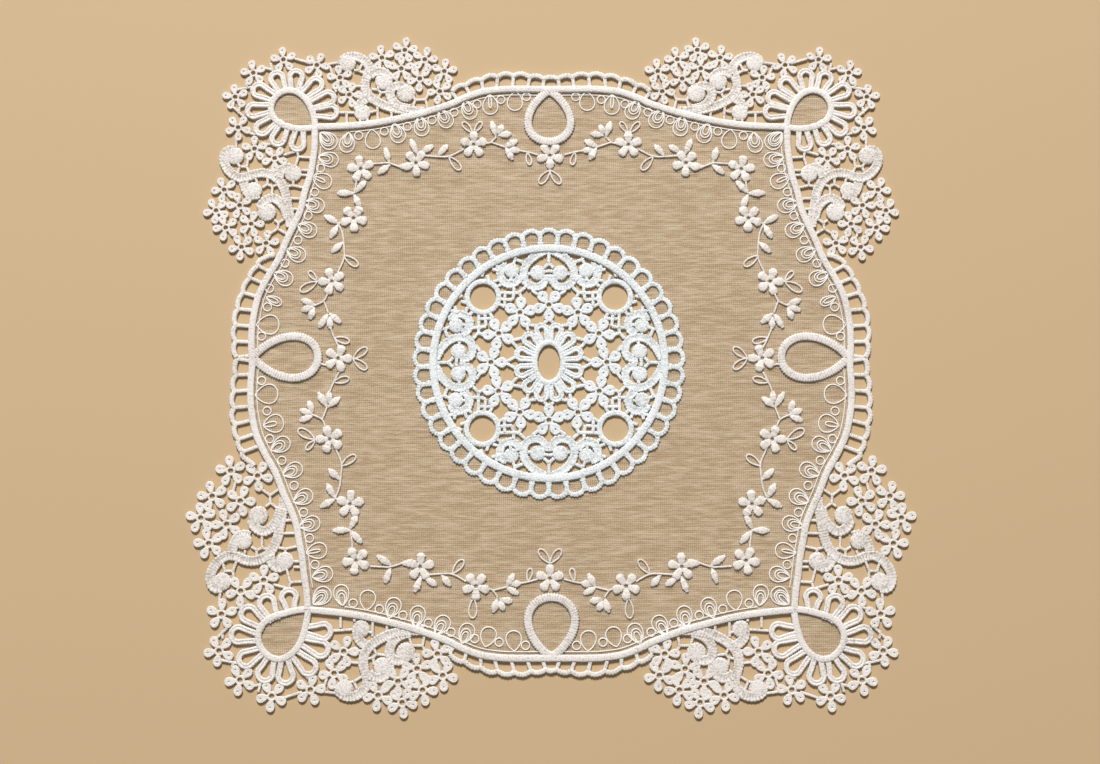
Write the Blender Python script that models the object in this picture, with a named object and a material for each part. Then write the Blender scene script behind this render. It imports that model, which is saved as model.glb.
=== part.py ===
# A lace doily, lying flat: an organza ground, a needle-lace border round it, and a round lace medallion
# in the middle. Metres, +Z up, one frame for all three; tables are in millimetres and scaled once.
import bpy
import math
import numpy as np
from mathutils import Vector
from mathutils.geometry import delaunay_2d_cdt

MM = 0.001
# ---- driving sizes, mm -------------------------------------------------------------------------
CORNER_X, CORNER_Y = 133.8, 135.5      # where two border cords cross at a corner
CENTRE = (0.03, -3.38)                 # middle of the outline, taken off every point at the end
GROUND_THICK = 1.0                     # organza sheet
LAYER_GAP = 0.35                       # clear space between two maker's pieces
LACE_THICK = 2.0                       # open lace lying on the table
CORD_TOP = 3.0                         # top of the cord, which lies over the organza edge
SIDE_GAP = 0.95                        # lace to organza, in plan
CORD_HALF = 1.95                       # half the width of the border cord
FOOT_HALF = 2.5                        # the same where it stands on the table beside the organza
LOOP_HALF = 2.5                        # half the width of the four side loops' ribbon
BRIDE_HALF = 0.75                      # half the width of a thin bar
RUNG_HALF, RUNG_RIM = 1.0, 1.5         # half widths of the ladder edge's rung and outer cord
RUNG_START, RUNG_FOOT = 1.2, 1.5       # where a rung starts from the cord's middle line, and the gap from there
FLOWER_R = 6.9                         # a border flower, petals taken together
RING_OUT, RING_STEP, RING_IN = 67.0, 62.8, 62.0   # medallion's ring cord: outside, raised part, inside
CUT_R = 64.6                           # round opening in the organza under the ring cord
MEDALLION = (-1.2, 1.2)                # its centre in the doily
PICOTS = 45                            # loops round the medallion
PICOT_TOP, PICOT_DIP = 76.4, 2.6       # radius at a loop's top and how far the line dips between two
STEP = 0.5                             # plan grid
FINE = 0.8                             # how far a facet may leave the curve
FINE_RIM = 0.8                         # the same along the outside
FINE_SEAM = 0.3                        # the same where the lace meets the organza
FINE_CORD = 0.4                        # the same along the cord
WIDE_GAP = 5000.0                      # a gap of more than this, mm2, is one that the organza fills
SMALL_GAP = 28.0                       # gaps smaller than this, mm2, are closed
SLIT = 1.2                             # slits narrower than twice this are closed

# ---- border, one quarter: x to the right, y away; mirrored to the other three ------------------
# cord along the long edge at the top: x, y
CORD_TOP_LINE = [(0, 157.3), (20, 157.5), (30, 157.1), (40, 155.6), (50, 152), (56.3, 149), (72.1, 143.8),
                 (82.6, 141.2), (98.4, 138), (114.2, 136.2), (133.8, 135.5)]
# cord along the side: x, y
CORD_SIDE_LINE = [(166.9, 0), (167.5, 10), (167.4, 20), (166.1, 30), (163.6, 40), (158.8, 50), (153, 60),
                  (148.3, 71.7), (144.4, 80), (141.1, 88.3), (139.4, 96.7), (136.1, 107.8), (134.4, 118.9),
                  (133.9, 124.4), (133.8, 135.5)]
# flowers: x, y
FLOWERS = [(152.4, 174.5), (169.4, 166.8), (179.4, 152.8), (177.4, 135.1), (133.3, 171.3), (120.1, 164),
           (114.6, 154.1), (96.3, 175.6), (83.3, 180.1), (71.9, 174.6), (60.7, 167.7),
           (85.2, 169.3), (74.6, 163.4), (63.2, 156), (167.9, 122.8), (156.4, 117.3),
           (184.6, 99.2), (175.7, 90.2), (188.9, 87.3), (169, 79.6), (183.3, 77.5),
           (160.4, 68.6), (174.2, 66.4)]
# loops round the corner: foot x, y on the corner loop and tip x, y
ROSETTE = [(134.5, 143.9, 119.8, 144.6), (137, 148, 121.8, 154.2), (141, 153.5, 129.8, 163.6),
           (145.6, 156.8, 144.6, 169.8), (152.5, 156, 158, 168.3), (157.3, 152.6, 170.6, 159),
           (159, 146.3, 174, 144.2), (155.3, 141, 168, 131.6), (150.5, 138, 156.8, 124),
           (142.5, 134, 144.2, 120.6)]
# scrolls: the band's middle line
SCROLLS = [[(120.5, 173), (119.6, 175.6), (116, 177), (111, 176.4), (107, 174.4), (103.8, 170.5), (104.6, 164),
            (105.3, 157), (103.5, 152), (100, 149), (95, 146.8), (88, 145.4), (80, 145), (72, 145)],
           [(91.8, 161), (92.4, 164.8), (95.5, 167.3), (100, 167.5), (104, 165)],
           [(84.5, 160), (89.3, 158.2), (91.5, 154), (90.3, 149.8), (86.5, 147), (80, 146)],
           [(111.5, 146.5), (109, 149), (105.5, 149.4), (102, 148)],
           [(178.5, 122.5), (183, 121), (186, 116), (184.4, 110.8), (179.6, 107), (174, 106.3), (167, 108.6),
            (160.5, 108.8), (154.6, 106), (150.4, 101), (148.6, 94), (148, 86), (147, 78)],
           [(171, 106), (173.4, 102), (173, 97.5), (170.4, 94.4), (166.5, 93.6)],
           [(163.8, 84.5), (164.2, 89), (161.8, 93), (157.5, 94.8), (153.2, 93.2), (150.4, 89), (149, 83)],
           [(146, 114), (150, 112.6), (151.5, 109.5), (150.6, 105.5)]]
# round ends of the scrolls: x, y, radius
DISCS = [(116.2, 172.7, 4.9), (95.4, 162, 4.4), (82.5, 155.6, 5.1), (107.3, 144.3, 4.8),
         (178.6, 118.4, 5.1), (165.9, 98.2, 4.5), (158.3, 86.7, 5.1), (145.6, 109.6, 5.0)]
# thin bars: x, y to x, y
BARS = [(127, 172, 120.6, 173.2), (126, 170.5, 124.2, 166), (113, 166.6, 106, 166), (109.4, 168, 111.2, 171),
        (107, 159.6, 112.5, 159), (107, 153.9, 109, 153.9), (120, 144, 112, 143.4), (116, 143, 115.8, 137),
        (108.3, 140, 108.3, 137), (102.7, 143.6, 98.3, 145.5), (98.3, 147, 98.3, 138), (90.6, 146, 90.4, 140),
        (99.4, 159.5, 98, 156.4), (98, 156.4, 103.5, 157.4), (98, 156.4, 96.6, 153.8), (96.6, 153.8, 92, 155),
        (96.6, 153.8, 99.5, 149.5), (92, 165.2, 87.4, 166), (87.6, 167, 87.8, 160), (78, 155, 77.2, 151.2),
        (77.2, 151.2, 78.4, 146), (77.2, 151.2, 71.2, 151.4), (71.2, 151.4, 69.8, 146), (71.2, 151.4, 69.4, 155.4),
        (159.6, 172.5, 158.4, 168), (145.8, 175.2, 139.4, 173), (163.6, 170, 158.6, 168.8), (175.6, 158.6, 170, 158.8),
        (173.4, 160.8, 172.6, 158.6), (180.6, 147.2, 174.4, 141.6), (176.9, 147, 177.2, 143), (134, 166, 131.4, 162.6),
        (178.6, 129, 178, 123), (172.4, 132.6, 167.4, 131), (123, 158.4, 122, 155.6),
        (143.6, 121, 143, 118.3), (143, 118.3, 137, 117.8), (143, 118.3, 144, 114), (141.2, 109.4, 137, 109.4),
        (145, 105, 145, 101.2), (149, 101, 139.4, 101.4), (148, 94, 141, 94.4), (147.4, 88.6, 142.4, 88.4),
        (166.8, 107, 166.2, 102.6), (160, 107, 159.8, 101.6), (159.8, 101.6, 164, 101), (159.8, 101.6, 157.4, 99.4),
        (157.4, 99.4, 152.4, 102), (157.4, 99.4, 157.5, 95), (155, 82.6, 153.8, 79.2), (153.8, 79.2, 154, 76),
        (154, 76, 159, 74.4), (154, 76, 149.6, 73.4), (153.8, 81, 149.4, 83.2), (174, 106, 174, 112.4),
        (174, 112.4, 170, 115.6), (174, 112.4, 177.6, 115), (151.4, 119.4, 144.4, 121.4), (162.6, 125, 158, 126)]
# outer cord of the ladder edge along the top: x, y; and its rungs: x of the foot, x of the head
TOP_RIM = [(0, 163.4), (8, 164.4), (17, 165.9), (26, 165.9), (35, 164.8), (44, 162), (52, 158.6), (57, 155.8)]
TOP_RUNGS = [(4.6, 4.1), (13, 12.2), (21.8, 21.4), (31, 30.4), (38.6, 39.6), (46.4, 48.6), (53.4, 56.4)]
# the same down the side: x, y; the rungs are y of the foot, y of the head, counted from SIDE_MID
SIDE_RIM = [(175.2, 0), (176.3, 10), (176.8, 20), (175.8, 30), (173, 40), (168.6, 50), (164, 57), (161, 61)]
SIDE_RUNGS = [(1.4, 0.4), (9.2, 9.4), (18, 18.6), (27, 27.8), (34.8, 37), (42.4, 45.4), (49, 52.4)]
SIDE_MID, SIDE_END = 3.6, 56.8
SCALLOP = 0.6                          # how far the outer cord bulges between two rungs
END_TURN = 3.0                         # how far it turns in at the end of the side
NEAR_PULL = 2.2                        # how far it was pulled out at the near end
# corner loop and side loops: point x, y, direction, length, half width
CORNER_LOOP = (133.8, 135.5, 36.4, 28.6, 10.2)
SIDE_LOOPS = [(-1.0, 156.2, -90, 29.2, 12.1), (-0.4, -161, 90, 29.8, 12.9),
              (-166.0, 4.0, 0, 35.2, 11.7), (165.6, 4.0, 180, 37.0, 11.7)]

# ---- medallion, from its own centre: v across, u outwards; mirrored in v and turned four times -
FLOWER_RING, FLOWER_REACH = 32.4, 8.3
EYELET_AT, EYELET_R, EYELET_HALF = 52.3, 8.95, 1.75
MED_SCROLLS = [[(0, 64), (7, 61.2), (11.6, 57.6), (14.2, 53.4), (14.4, 48.4), (12, 44.4), (7.5, 42.6), (3.2, 44.2),
                (2, 47.6)],
               [(37, 52.5), (31, 46.6), (26, 43.8), (20.6, 44.6), (17.4, 48.6), (18.2, 53.6), (22.4, 56.4),
                (26.6, 54.4)]]
MED_DISCS = [(7.2, 49.2, 4.2), (23.5, 51, 4.3)]
MED_BARS = [(0, 62, 0, 56.4), (0, 56.4, 3.4, 53), (18.6, 61, 18.8, 56), (4.6, 38.6, 14, 37.2), (13.8, 43, 14.8, 36),
            (19.8, 44, 19.8, 38), (15.4, 38, 28, 38.4), (24, 31.4, 28, 33.2), (22.4, 22.4, 31, 31), (0, 24, 0, 18),
            (34.6, 49.4, 33.6, 46)]
HOLE_V, HOLE_U = 6.1, 9.6              # the oval hole in the middle
LOBE_V, LOBE_U = 16.0, 18.6            # where the middle loops' round ends lie
LOBE_HALF = 4.2


def slack(x, y):
    """The two near corners were pulled out a little further than the far ones."""
    rx, ry = x - CORNER_X, y - CORNER_Y
    near = min(1.0, math.hypot(rx, ry) / 12.0)
    if rx > 0 or (ry < -2 and x > 140):
        dx = max(rx, 0) * (0.03 + 0.08 * min(1.0, max(0.0, (160 - y) / 30)))
        dy = 3 + 0.13 * ry if ry > 0 else 3 - 0.0021 * ry * ry
        return x + dx, y + dy * near
    belly = 4.6 * (1 - (x / 134.0) ** 2)
    pull = 0.21 * min(1.0, max(0.0, (x - 60) / 70)) * max(ry, 0)
    edge = 3 * min(1.0, max(0.0, (x - 115) / 19)) * near
    return x, y + belly + pull + edge


def corner(points, sx, sy):
    """Quarter-table points placed in corner sx, sy."""
    out = []
    for x, y in points:
        if sy < 0:
            x, y = slack(x, y)
        out.append((sx * x, sy * y))
    return out


def cord_line(which, sx, sy):
    """The two cords keep their own slack, so that they still meet at the crossing."""
    if which == "side":
        return [(sx * x, sy * y) for x, y in CORD_SIDE_LINE]
    belly = 4.6 if sy < 0 else 0.0
    return [(sx * x, sy * (y + belly * (1 - (x / 134.0) ** 2))) for x, y in CORD_TOP_LINE]


def top_ladder(sx, sy):
    """Rungs and scalloped outer cord of half of the ladder edge along the top or the bottom."""
    cord_x, cord_y = np.array(cord_line("top", 1, sy)).T
    rim_x, rim_y = np.array(TOP_RIM).T
    rungs = []
    for foot, head in TOP_RUNGS:
        head_y = float(np.interp(head, rim_x, rim_y))
        rungs.append([(sx * foot, float(np.interp(foot, cord_x, cord_y)) + sy * RUNG_START)]
                     + corner([(head, head_y)], sx, sy))
    heads = [0.0] + [head for _, head in TOP_RUNGS]
    line = [(0.0, rim_y[0])]
    for one, two in zip(heads, heads[1:]):
        mid = (one + two) / 2
        line += [(mid, float(np.interp(mid, rim_x, rim_y)) + SCALLOP), (two, float(np.interp(two, rim_x, rim_y)))]
    return rungs, corner(line, sx, sy)


def side_ladder(sx, sy):
    """Rungs and scalloped outer cord of half of the ladder edge down a side."""
    cord_x, cord_y = np.array(CORD_SIDE_LINE).T
    rim_x, rim_y = np.array(SIDE_RIM).T
    pull = NEAR_PULL if sy < 0 else 0.0

    def rim_at(offset):
        y = SIDE_MID + sy * offset
        out = pull * min(1.0, max(0.0, (offset - 25) / 30))
        return sx * (float(np.interp(abs(y), rim_y, rim_x)) + out), y

    rungs = []
    for foot, head in SIDE_RUNGS:
        foot_y = SIDE_MID + sy * foot
        rungs.append([(sx * (float(np.interp(abs(foot_y), cord_y, cord_x)) + RUNG_START), foot_y), rim_at(head)])
    heads = [0.0] + [head for _, head in SIDE_RUNGS] + [SIDE_END]
    line = []
    for one, two in zip(heads, heads[1:]):
        x, y = rim_at((one + two) / 2)
        line += [rim_at(one), (x + sx * SCALLOP, y)]
    x, y = rim_at(SIDE_END)
    return rungs, line + [(x - sx * END_TURN, y)]


def smooth(points, per_span=4):
    """A soft curve through the points of a table."""
    p = [points[0]] + list(points) + [points[-1]]
    out = []
    for k in range(1, len(p) - 2):
        a, b, c, d = (np.array(q, float) for q in p[k - 1:k + 3])
        for s in range(per_span):
            t = s / per_span
            q = 0.5 * (2 * b + (c - a) * t + (2 * a - 5 * b + 4 * c - d) * t * t + (3 * b - a - 3 * c + d) * t ** 3)
            out.append((float(q[0]), float(q[1])))
    out.append(tuple(map(float, points[-1])))
    return out


def teardrop(x, y, heading, length, half, blunt=0.75, count=40):
    """A closed loop with its point at x, y."""
    c, s = math.cos(math.radians(heading)), math.sin(math.radians(heading))
    peak = max(math.sin(t) * math.sin(t / 2) ** blunt for t in np.linspace(0, math.pi, 200))
    pts = []
    for k in range(count):
        t = 2 * math.pi * k / count
        along = length * (1 - math.cos(t)) / 2
        across = half / peak * math.sin(t) * abs(math.sin(t / 2)) ** blunt
        pts.append((x + along * c - across * s, y + along * s + across * c))
    return pts


# ---- plan fields: distance to the edge of what is covered, negative inside ----------------------
X0, X1, Y0, Y1 = -212.0, 212.0, -202.0, 198.0
GX = np.arange(X0, X1 + STEP / 2, STEP)
GY = np.arange(Y0, Y1 + STEP / 2, STEP)


def blank():
    return np.full((len(GY), len(GX)), 50.0)


def window(x0, x1, y0, y1):
    i0 = max(0, int((x0 - X0) / STEP))
    i1 = min(len(GX), int((x1 - X0) / STEP) + 2)
    j0 = max(0, int((y0 - Y0) / STEP))
    j1 = min(len(GY), int((y1 - Y0) / STEP) + 2)
    return slice(j0, j1), slice(i0, i1)


def add_rod(field, a, b, half, half_b=None):
    """A bar from a to b with round ends; its half width may change along it."""
    half_b = half if half_b is None else half_b
    m = max(half, half_b) + 4
    js, iz = window(min(a[0], b[0]) - m, max(a[0], b[0]) + m, min(a[1], b[1]) - m, max(a[1], b[1]) + m)
    x, y = np.meshgrid(GX[iz], GY[js])
    dx, dy = b[0] - a[0], b[1] - a[1]
    t = np.clip(((x - a[0]) * dx + (y - a[1]) * dy) / max(dx * dx + dy * dy, 1e-9), 0, 1)
    d = np.hypot(x - a[0] - t * dx, y - a[1] - t * dy) - (half + (half_b - half) * t)
    field[js, iz] = np.minimum(field[js, iz], d)


def add_band(field, line, half, closed=False):
    pts = list(line) + ([line[0]] if closed else [])
    for a, b in zip(pts, pts[1:]):
        add_rod(field, a, b, half)


def inset(quad, margins):
    """A four-sided loop with each side moved inwards by its own margin."""
    pts = [np.array(p, float) for p in quad]
    middle = sum(pts) / 4
    sides = []
    for a, b, m in zip(pts, pts[1:] + pts[:1], margins):
        normal = np.array((-(b - a)[1], (b - a)[0])) / np.hypot(*(b - a))
        normal = normal if np.dot(middle - a, normal) > 0 else -normal
        sides.append((a + normal * m, b - a))
    out = []
    for (p, d), (q, e) in zip(sides[-1:] + sides[:-1], sides):
        t = ((q[0] - p[0]) * e[1] - (q[1] - p[1]) * e[0]) / (d[0] * e[1] - d[1] * e[0])
        out.append(p + d * t)
    return np.array(out)


def area_field(loop):
    """Distance to a closed loop, negative inside it."""
    field = blank()
    add_band(field, loop, 0.0, closed=True)
    x, y = np.meshgrid(GX, GY)
    inside = np.zeros(field.shape, bool)
    for (ax, ay), (bx, by) in zip(loop, loop[1:] + loop[:1]):
        if ay != by:
            hit = (ay > y) != (by > y)
            inside ^= hit & (x < (bx - ax) * (y - ay) / (by - ay) + ax)
    return np.where(inside, -field, field)


def add_flower(field, x, y, turn, reach, half_tip=2.3):
    for k in range(5):
        a = math.radians(turn + 72 * k)
        r = reach - half_tip
        add_rod(field, (x, y), (x + r * math.cos(a), y + r * math.sin(a)), 1.5, half_tip)


def closing(field, radius):
    """Fills slits narrower than twice the radius."""
    n = int(math.ceil(radius / STEP))
    moves = [(j, i) for j in range(-n, n + 1) for i in range(-n, n + 1) if math.hypot(i, j) * STEP <= radius]
    for pick in (np.minimum, np.maximum):
        new = field.copy()
        for j, i in moves:
            new = pick(new, np.roll(np.roll(field, j, 0), i, 1))
        field = new
    return field


def outlines(field):
    """Closed zero lines of a field, the covered side on the left."""
    f = np.where(np.abs(field) < 1e-4, 1e-4, field)
    neg = f < 0
    mixed = neg[:-1, :-1].astype(int) + neg[1:, :-1] + neg[:-1, 1:] + neg[1:, 1:]
    nxt = {}
    for j, i in zip(*np.nonzero((mixed > 0) & (mixed < 4))):
        sw, se, ne, nw = neg[j, i], neg[j, i + 1], neg[j + 1, i + 1], neg[j + 1, i]
        south, east, north, west = (j, i, 0), (j, i + 1, 1), (j + 1, i, 0), (j, i, 1)
        cuts = []
        if sw != se:
            cuts.append((south, bool(sw)))
        if se != ne:
            cuts.append((east, bool(se)))
        if ne != nw:
            cuts.append((north, bool(ne)))
        if nw != sw:
            cuts.append((west, bool(nw)))
        # going round the cell, a line leaves where covered turns to open and enters where open turns to covered
        if len(cuts) == 2:
            (a, a_in), (b, b_in) = cuts
            start, end = (a, b) if a_in else (b, a)
            nxt[start] = end
        else:
            mid = f[j, i] + f[j, i + 1] + f[j + 1, i + 1] + f[j + 1, i] < 0
            order = [c[0] for c in cuts]
            first_in = cuts[0][1]
            starts = [0, 2] if first_in else [1, 3]
            for s in starts:
                nxt[order[s]] = order[(s + 1) % 4] if mid else order[(s - 1) % 4]

    def point(key):
        j, i, up = key
        a = f[j, i]
        b = f[j + 1, i] if up else f[j, i + 1]
        t = a / (a - b)
        return (GX[i], GY[j] + t * STEP) if up else (GX[i] + t * STEP, GY[j])

    loops = []
    while nxt:
        start, key = next(iter(nxt.items()))
        del nxt[start]
        keys = [start]
        while key != start:
            keys.append(key)
            key = nxt.pop(key)
        loops.append(np.array([point(k) for k in keys]))
    return loops


def signed_area(loop):
    x, y = loop[:, 0], loop[:, 1]
    return 0.5 * float(np.sum(x * np.roll(y, -1) - np.roll(x, -1) * y))


def thin_out(loop, fine):
    """Keeps the points that hold the curve to within `fine`."""
    n = len(loop)
    far = int(np.argmax(np.hypot(*(loop - loop[0]).T)))
    keep = {0, far}
    todo = [(0, far), (far, n)]
    closed = np.vstack([loop, loop[:1]])
    while todo:
        a, b = todo.pop()
        if b - a < 2:
            continue
        p, q = closed[a], closed[b]
        d = q - p
        size = max(math.hypot(*d), 1e-9)
        off = np.abs(d[0] * (closed[a + 1:b, 1] - p[1]) - d[1] * (closed[a + 1:b, 0] - p[0])) / size
        k = int(np.argmax(off))
        if off[k] > fine:
            keep.add(a + 1 + k)
            todo += [(a, a + 1 + k), (a + 1 + k, b)]
    return loop[sorted(keep)]


def shapes(field, fine, small=1.0, rim=FINE_SEAM):
    """Outer line and gaps of the covered area, small gaps closed and loose crumbs dropped."""
    loops = outlines(field)
    areas = [signed_area(p) for p in loops]
    biggest = max(abs(a) for a in areas)
    sign = 1 if max(areas, key=abs) > 0 else -1
    out = []
    for loop, a in zip(loops, areas):
        a *= sign
        if (a > 0 and a > 0.9 * biggest) or (a < 0 and -a >= small):
            off = FINE_SEAM if a < -WIDE_GAP else fine if a < 0 else rim
            out.append(thin_out(loop, off))
    return out


def crossings(ends, x, y):
    """How many of the lines a ray from x, y to the right meets; odd inside the covered area."""
    ax, ay, bx, by = ends.T
    hit = (ay > y) != (by > y)
    rise = np.where(ay == by, 1.0, by - ay)
    return int(np.count_nonzero(hit & (x < (bx - ax) * (y - ay) / rise + ax)))


def stepped_plate(name, low_loops, low_span, high_loops=(), high_span=None):
    """One closed solid: a flat plate over low_loops, joined to a raised one over high_loops where they overlap."""
    verts, edges, owner = [], [], []
    for level, loops in enumerate((low_loops, high_loops)):
        for loop in loops:
            base, n = len(verts), len(loop)
            verts += [Vector((float(x - CENTRE[0]), float(y - CENTRE[1]))) for x, y in loop]
            edges += [(base + k, base + (k + 1) % n) for k in range(n)]
            owner += [level] * n
    points, _, faces, _, _, _ = delaunay_2d_cdt(verts, edges, [], 1, 1e-6)
    ends = np.array([(*verts[a], *verts[b]) for a, b in edges])
    owner = np.array(owner)
    span_of = {}
    for f in faces:
        (ax, ay), (bx, by), (cx, cy) = (points[k] for k in f)
        if (bx - ax) * (cy - ay) - (by - ay) * (cx - ax) < 0:
            f = f[::-1]
        mid = (ax + bx + cx) / 3, (ay + by + cy) / 3
        spans = [span for level, span in ((0, low_span), (1, high_span))
                 if crossings(ends[owner == level], *mid) % 2]
        if spans:
            span_of[tuple(f)] = (min(s[0] for s in spans), max(s[1] for s in spans))
    side_of, heights = {}, {}
    for f, span in span_of.items():
        for a, b in zip(f, f[1:] + f[:1]):
            side_of[a, b] = span
            heights.setdefault(a, set()).update(span)
    index, coords, polys = {}, [], []

    def corner_at(k, z):
        if (k, z) not in index:
            index[k, z] = len(coords)
            coords.append((points[k][0] * MM, points[k][1] * MM, z * MM))
        return index[k, z]

    for f, (low, high) in span_of.items():
        polys.append([corner_at(k, high) for k in f])
        polys.append([corner_at(k, low) for k in reversed(f)])
    for (a, b), (low, high) in side_of.items():
        other = side_of.get((b, a), (low, low))
        for z0, z1 in ((low, min(high, other[0])), (max(low, other[1]), high)):
            if z1 > z0 and not ((b, a) not in side_of and z0 != low):
                up = [corner_at(b, z) for z in sorted(h for h in heights[b] if z0 <= h <= z1)]
                down = [corner_at(a, z) for z in sorted((h for h in heights[a] if z0 <= h <= z1), reverse=True)]
                polys.append(up + down)
    mesh = bpy.data.meshes.new(name)
    mesh.from_pydata(coords, [], polys)
    mesh.validate()
    mesh.calc_loop_triangles()
    obj = bpy.data.objects.new(name, mesh)
    bpy.context.scene.collection.objects.link(obj)
    print(name, "closed lines", len(low_loops) + len(high_loops), "corners", len(points),
          "triangles", len(mesh.loop_triangles))
    return obj


def material(obj, name, colour, rough):
    mat = bpy.data.materials.new(name)
    mat.use_nodes = True
    bsdf = mat.node_tree.nodes["Principled BSDF"]
    bsdf.inputs["Base Color"].default_value = (*colour, 1)
    bsdf.inputs["Roughness"].default_value = rough
    obj.data.materials.clear()
    obj.data.materials.append(mat)


for old in list(bpy.data.objects):
    bpy.data.objects.remove(old, do_unlink=True)

# ---- organza ground ----------------------------------------------------------------------------
edge = []
edge += smooth(cord_line("top", 1, 1))[:-1] + smooth(cord_line("side", 1, 1))[::-1][:-1]
edge += smooth(cord_line("side", 1, -1))[:-1] + smooth(cord_line("top", 1, -1))[::-1][:-1]
edge += smooth(cord_line("top", -1, -1))[:-1] + smooth(cord_line("side", -1, -1))[::-1][:-1]
edge += smooth(cord_line("side", -1, 1))[:-1] + smooth(cord_line("top", -1, 1))[::-1][:-1]
ground = area_field(edge)
corner_loops = []
for sx in (1, -1):
    for sy in (1, -1):
        loop = corner(teardrop(*CORNER_LOOP), sx, sy)
        corner_loops.append(loop)
        ground = np.minimum(ground, area_field(loop))
        add_rod(ground, (sx * CORNER_X, sy * CORNER_Y), (sx * (CORNER_X + 4), sy * (CORNER_Y + 3)), 2.2, 3.0)
GX2, GY2 = np.meshgrid(GX, GY)
from_middle = np.hypot(GX2 - MEDALLION[0], GY2 - MEDALLION[1])
ground = np.maximum(ground, CUT_R - from_middle)
organza = stepped_plate("organza_ground", shapes(ground, FINE_SEAM), (0.0, GROUND_THICK))
material(organza, "organza_cloth", (0.62, 0.50, 0.37), 0.7)

# ---- lace border: open lace on the table, joined to the cord that lies over the organza's edge --
raised = (GROUND_THICK + LAYER_GAP, CORD_TOP)
lace, cord = blank(), blank()
gaps = []
for sx in (1, -1):
    for sy in (1, -1):
        for which in ("top", "side"):
            line = smooth(cord_line(which, sx, sy))
            add_band(cord, line, CORD_HALF)
            add_band(lace, line, FOOT_HALF)
        for x, y in FLOWERS:
            (px, py), = corner([(x, y)], sx, sy)
            add_rod(lace, (px, py), (px, py), FLOWER_R * (1.0 if sy > 0 else 1.12))
        for fx, fy, tx, ty in ROSETTE:
            foot, tip = np.array((fx, fy)), np.array((tx, ty))
            ax = (tip - foot) / np.hypot(*(tip - foot))
            side = np.array((-ax[1], ax[0]))
            long = float(np.hypot(*(tip - foot)))
            line = [foot + side * 2.0, foot + ax * (long - 5.6) + side * 3.1, foot + ax * (long - 2.6) + side * 1.9,
                    foot + ax * (long - 1.9), foot + ax * (long - 2.6) - side * 1.9,
                    foot + ax * (long - 5.6) - side * 3.1, foot - side * 2.0]
            add_band(lace, corner([tuple(map(float, p)) for p in line], sx, sy), 1.9)
        for line in SCROLLS:
            add_band(lace, corner(smooth(line, 3), sx, sy), 2.6)
        for x, y, r in DISCS:
            (px, py), = corner([(x, y)], sx, sy)
            add_rod(lace, (px, py), (px, py), r)
        for ax, ay, bx, by in BARS:
            a, b = corner([(ax, ay), (bx, by)], sx, sy)
            add_rod(lace, a, b, BRIDE_HALF)
        for bars, rim_line in (top_ladder(sx, sy), side_ladder(sx, sy)):
            add_band(lace, rim_line, RUNG_RIM)
            for one, two in zip(bars, bars[1:]):
                quad = one + two[::-1]
                lace = np.minimum(lace, area_field(quad))
                gaps.append(inset(quad, (RUNG_HALF, RUNG_RIM, RUNG_HALF, RUNG_FOOT)))
for loop in corner_loops:
    add_band(cord, loop, CORD_HALF - 0.2, closed=True)
    add_band(lace, loop, FOOT_HALF - 0.1, closed=True)
for row in SIDE_LOOPS:
    add_band(cord, teardrop(*row, blunt=0.6), LOOP_HALF, closed=True)
under = np.minimum(ground, area_field([(-90, -90), (90, -90), (90, 90), (-90, 90)]))
lace = np.maximum(closing(lace, SLIT), SIDE_GAP - under)
border = stepped_plate("lace_border", shapes(lace, FINE, SMALL_GAP, FINE_RIM) + gaps, (0.0, LACE_THICK),
                       shapes(closing(cord, 0.7), FINE_CORD, rim=FINE_CORD), raised)
material(border, "border_lace_cotton", (0.90, 0.85, 0.79), 0.75)

# ---- centre medallion: open lace on the table inside the organza's opening, ring cord over it ---
inner = blank()
mx, my = MEDALLION


def around(v, u, turn):
    a = math.radians(turn)
    return mx + v * math.cos(a) - u * math.sin(a), my + v * math.sin(a) + u * math.cos(a)


for k in range(4):
    turn = 90 * k
    for side in (1, -1):
        for line in MED_SCROLLS:
            add_band(inner, [around(side * v, u, turn) for v, u in smooth(line, 3)], 2.4)
        for v, u, r in MED_DISCS:
            p = around(side * v, u, turn)
            add_rod(inner, p, p, r)
        for av, au, bv, bu in MED_BARS:
            add_rod(inner, around(side * av, au, turn), around(side * bv, bu, turn), BRIDE_HALF)
    ex, ey = around(0, EYELET_AT, turn + 45)
    ring = [(ex + EYELET_R * math.cos(t), ey + EYELET_R * math.sin(t)) for t in np.linspace(0, 2 * math.pi, 25)[:-1]]
    add_band(inner, ring, EYELET_HALF, closed=True)
for k in range(12):
    px, py = around(0, FLOWER_RING, 30 * k)
    add_flower(inner, px, py, 90 + 30 * k + 180, FLOWER_REACH, 2.2)
    a = math.radians(15 + 30 * k)
    foot = (mx + 9.5 * math.cos(a), my + 12.0 * math.sin(a))
    tip = (mx + LOBE_V * math.cos(a), my + LOBE_U * math.sin(a))
    add_rod(inner, foot, tip, 3.6, LOBE_HALF)
    add_rod(inner, around(0, 17, 30 * k), around(0, 25, 30 * k), BRIDE_HALF)
oval = (np.hypot((GX2 - mx) / HOLE_V, (GY2 - my) / HOLE_U) - 1) * HOLE_V
inner = np.where(from_middle < 14, np.minimum(inner, from_middle - 14), inner)
inner = np.minimum(inner, RING_IN - from_middle)
inner = np.maximum(closing(inner, 0.7), -oval)
inner = np.maximum(inner, from_middle - (CUT_R - SIDE_GAP))


def round_line(radius_at, count):
    """A closed loop round the medallion's centre; radius_at takes the share of the turn."""
    turns = [k / count for k in range(count)]
    return np.array([(mx + radius_at(t) * math.cos(2 * math.pi * t), my + radius_at(t) * math.sin(2 * math.pi * t))
                     for t in turns])


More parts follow.
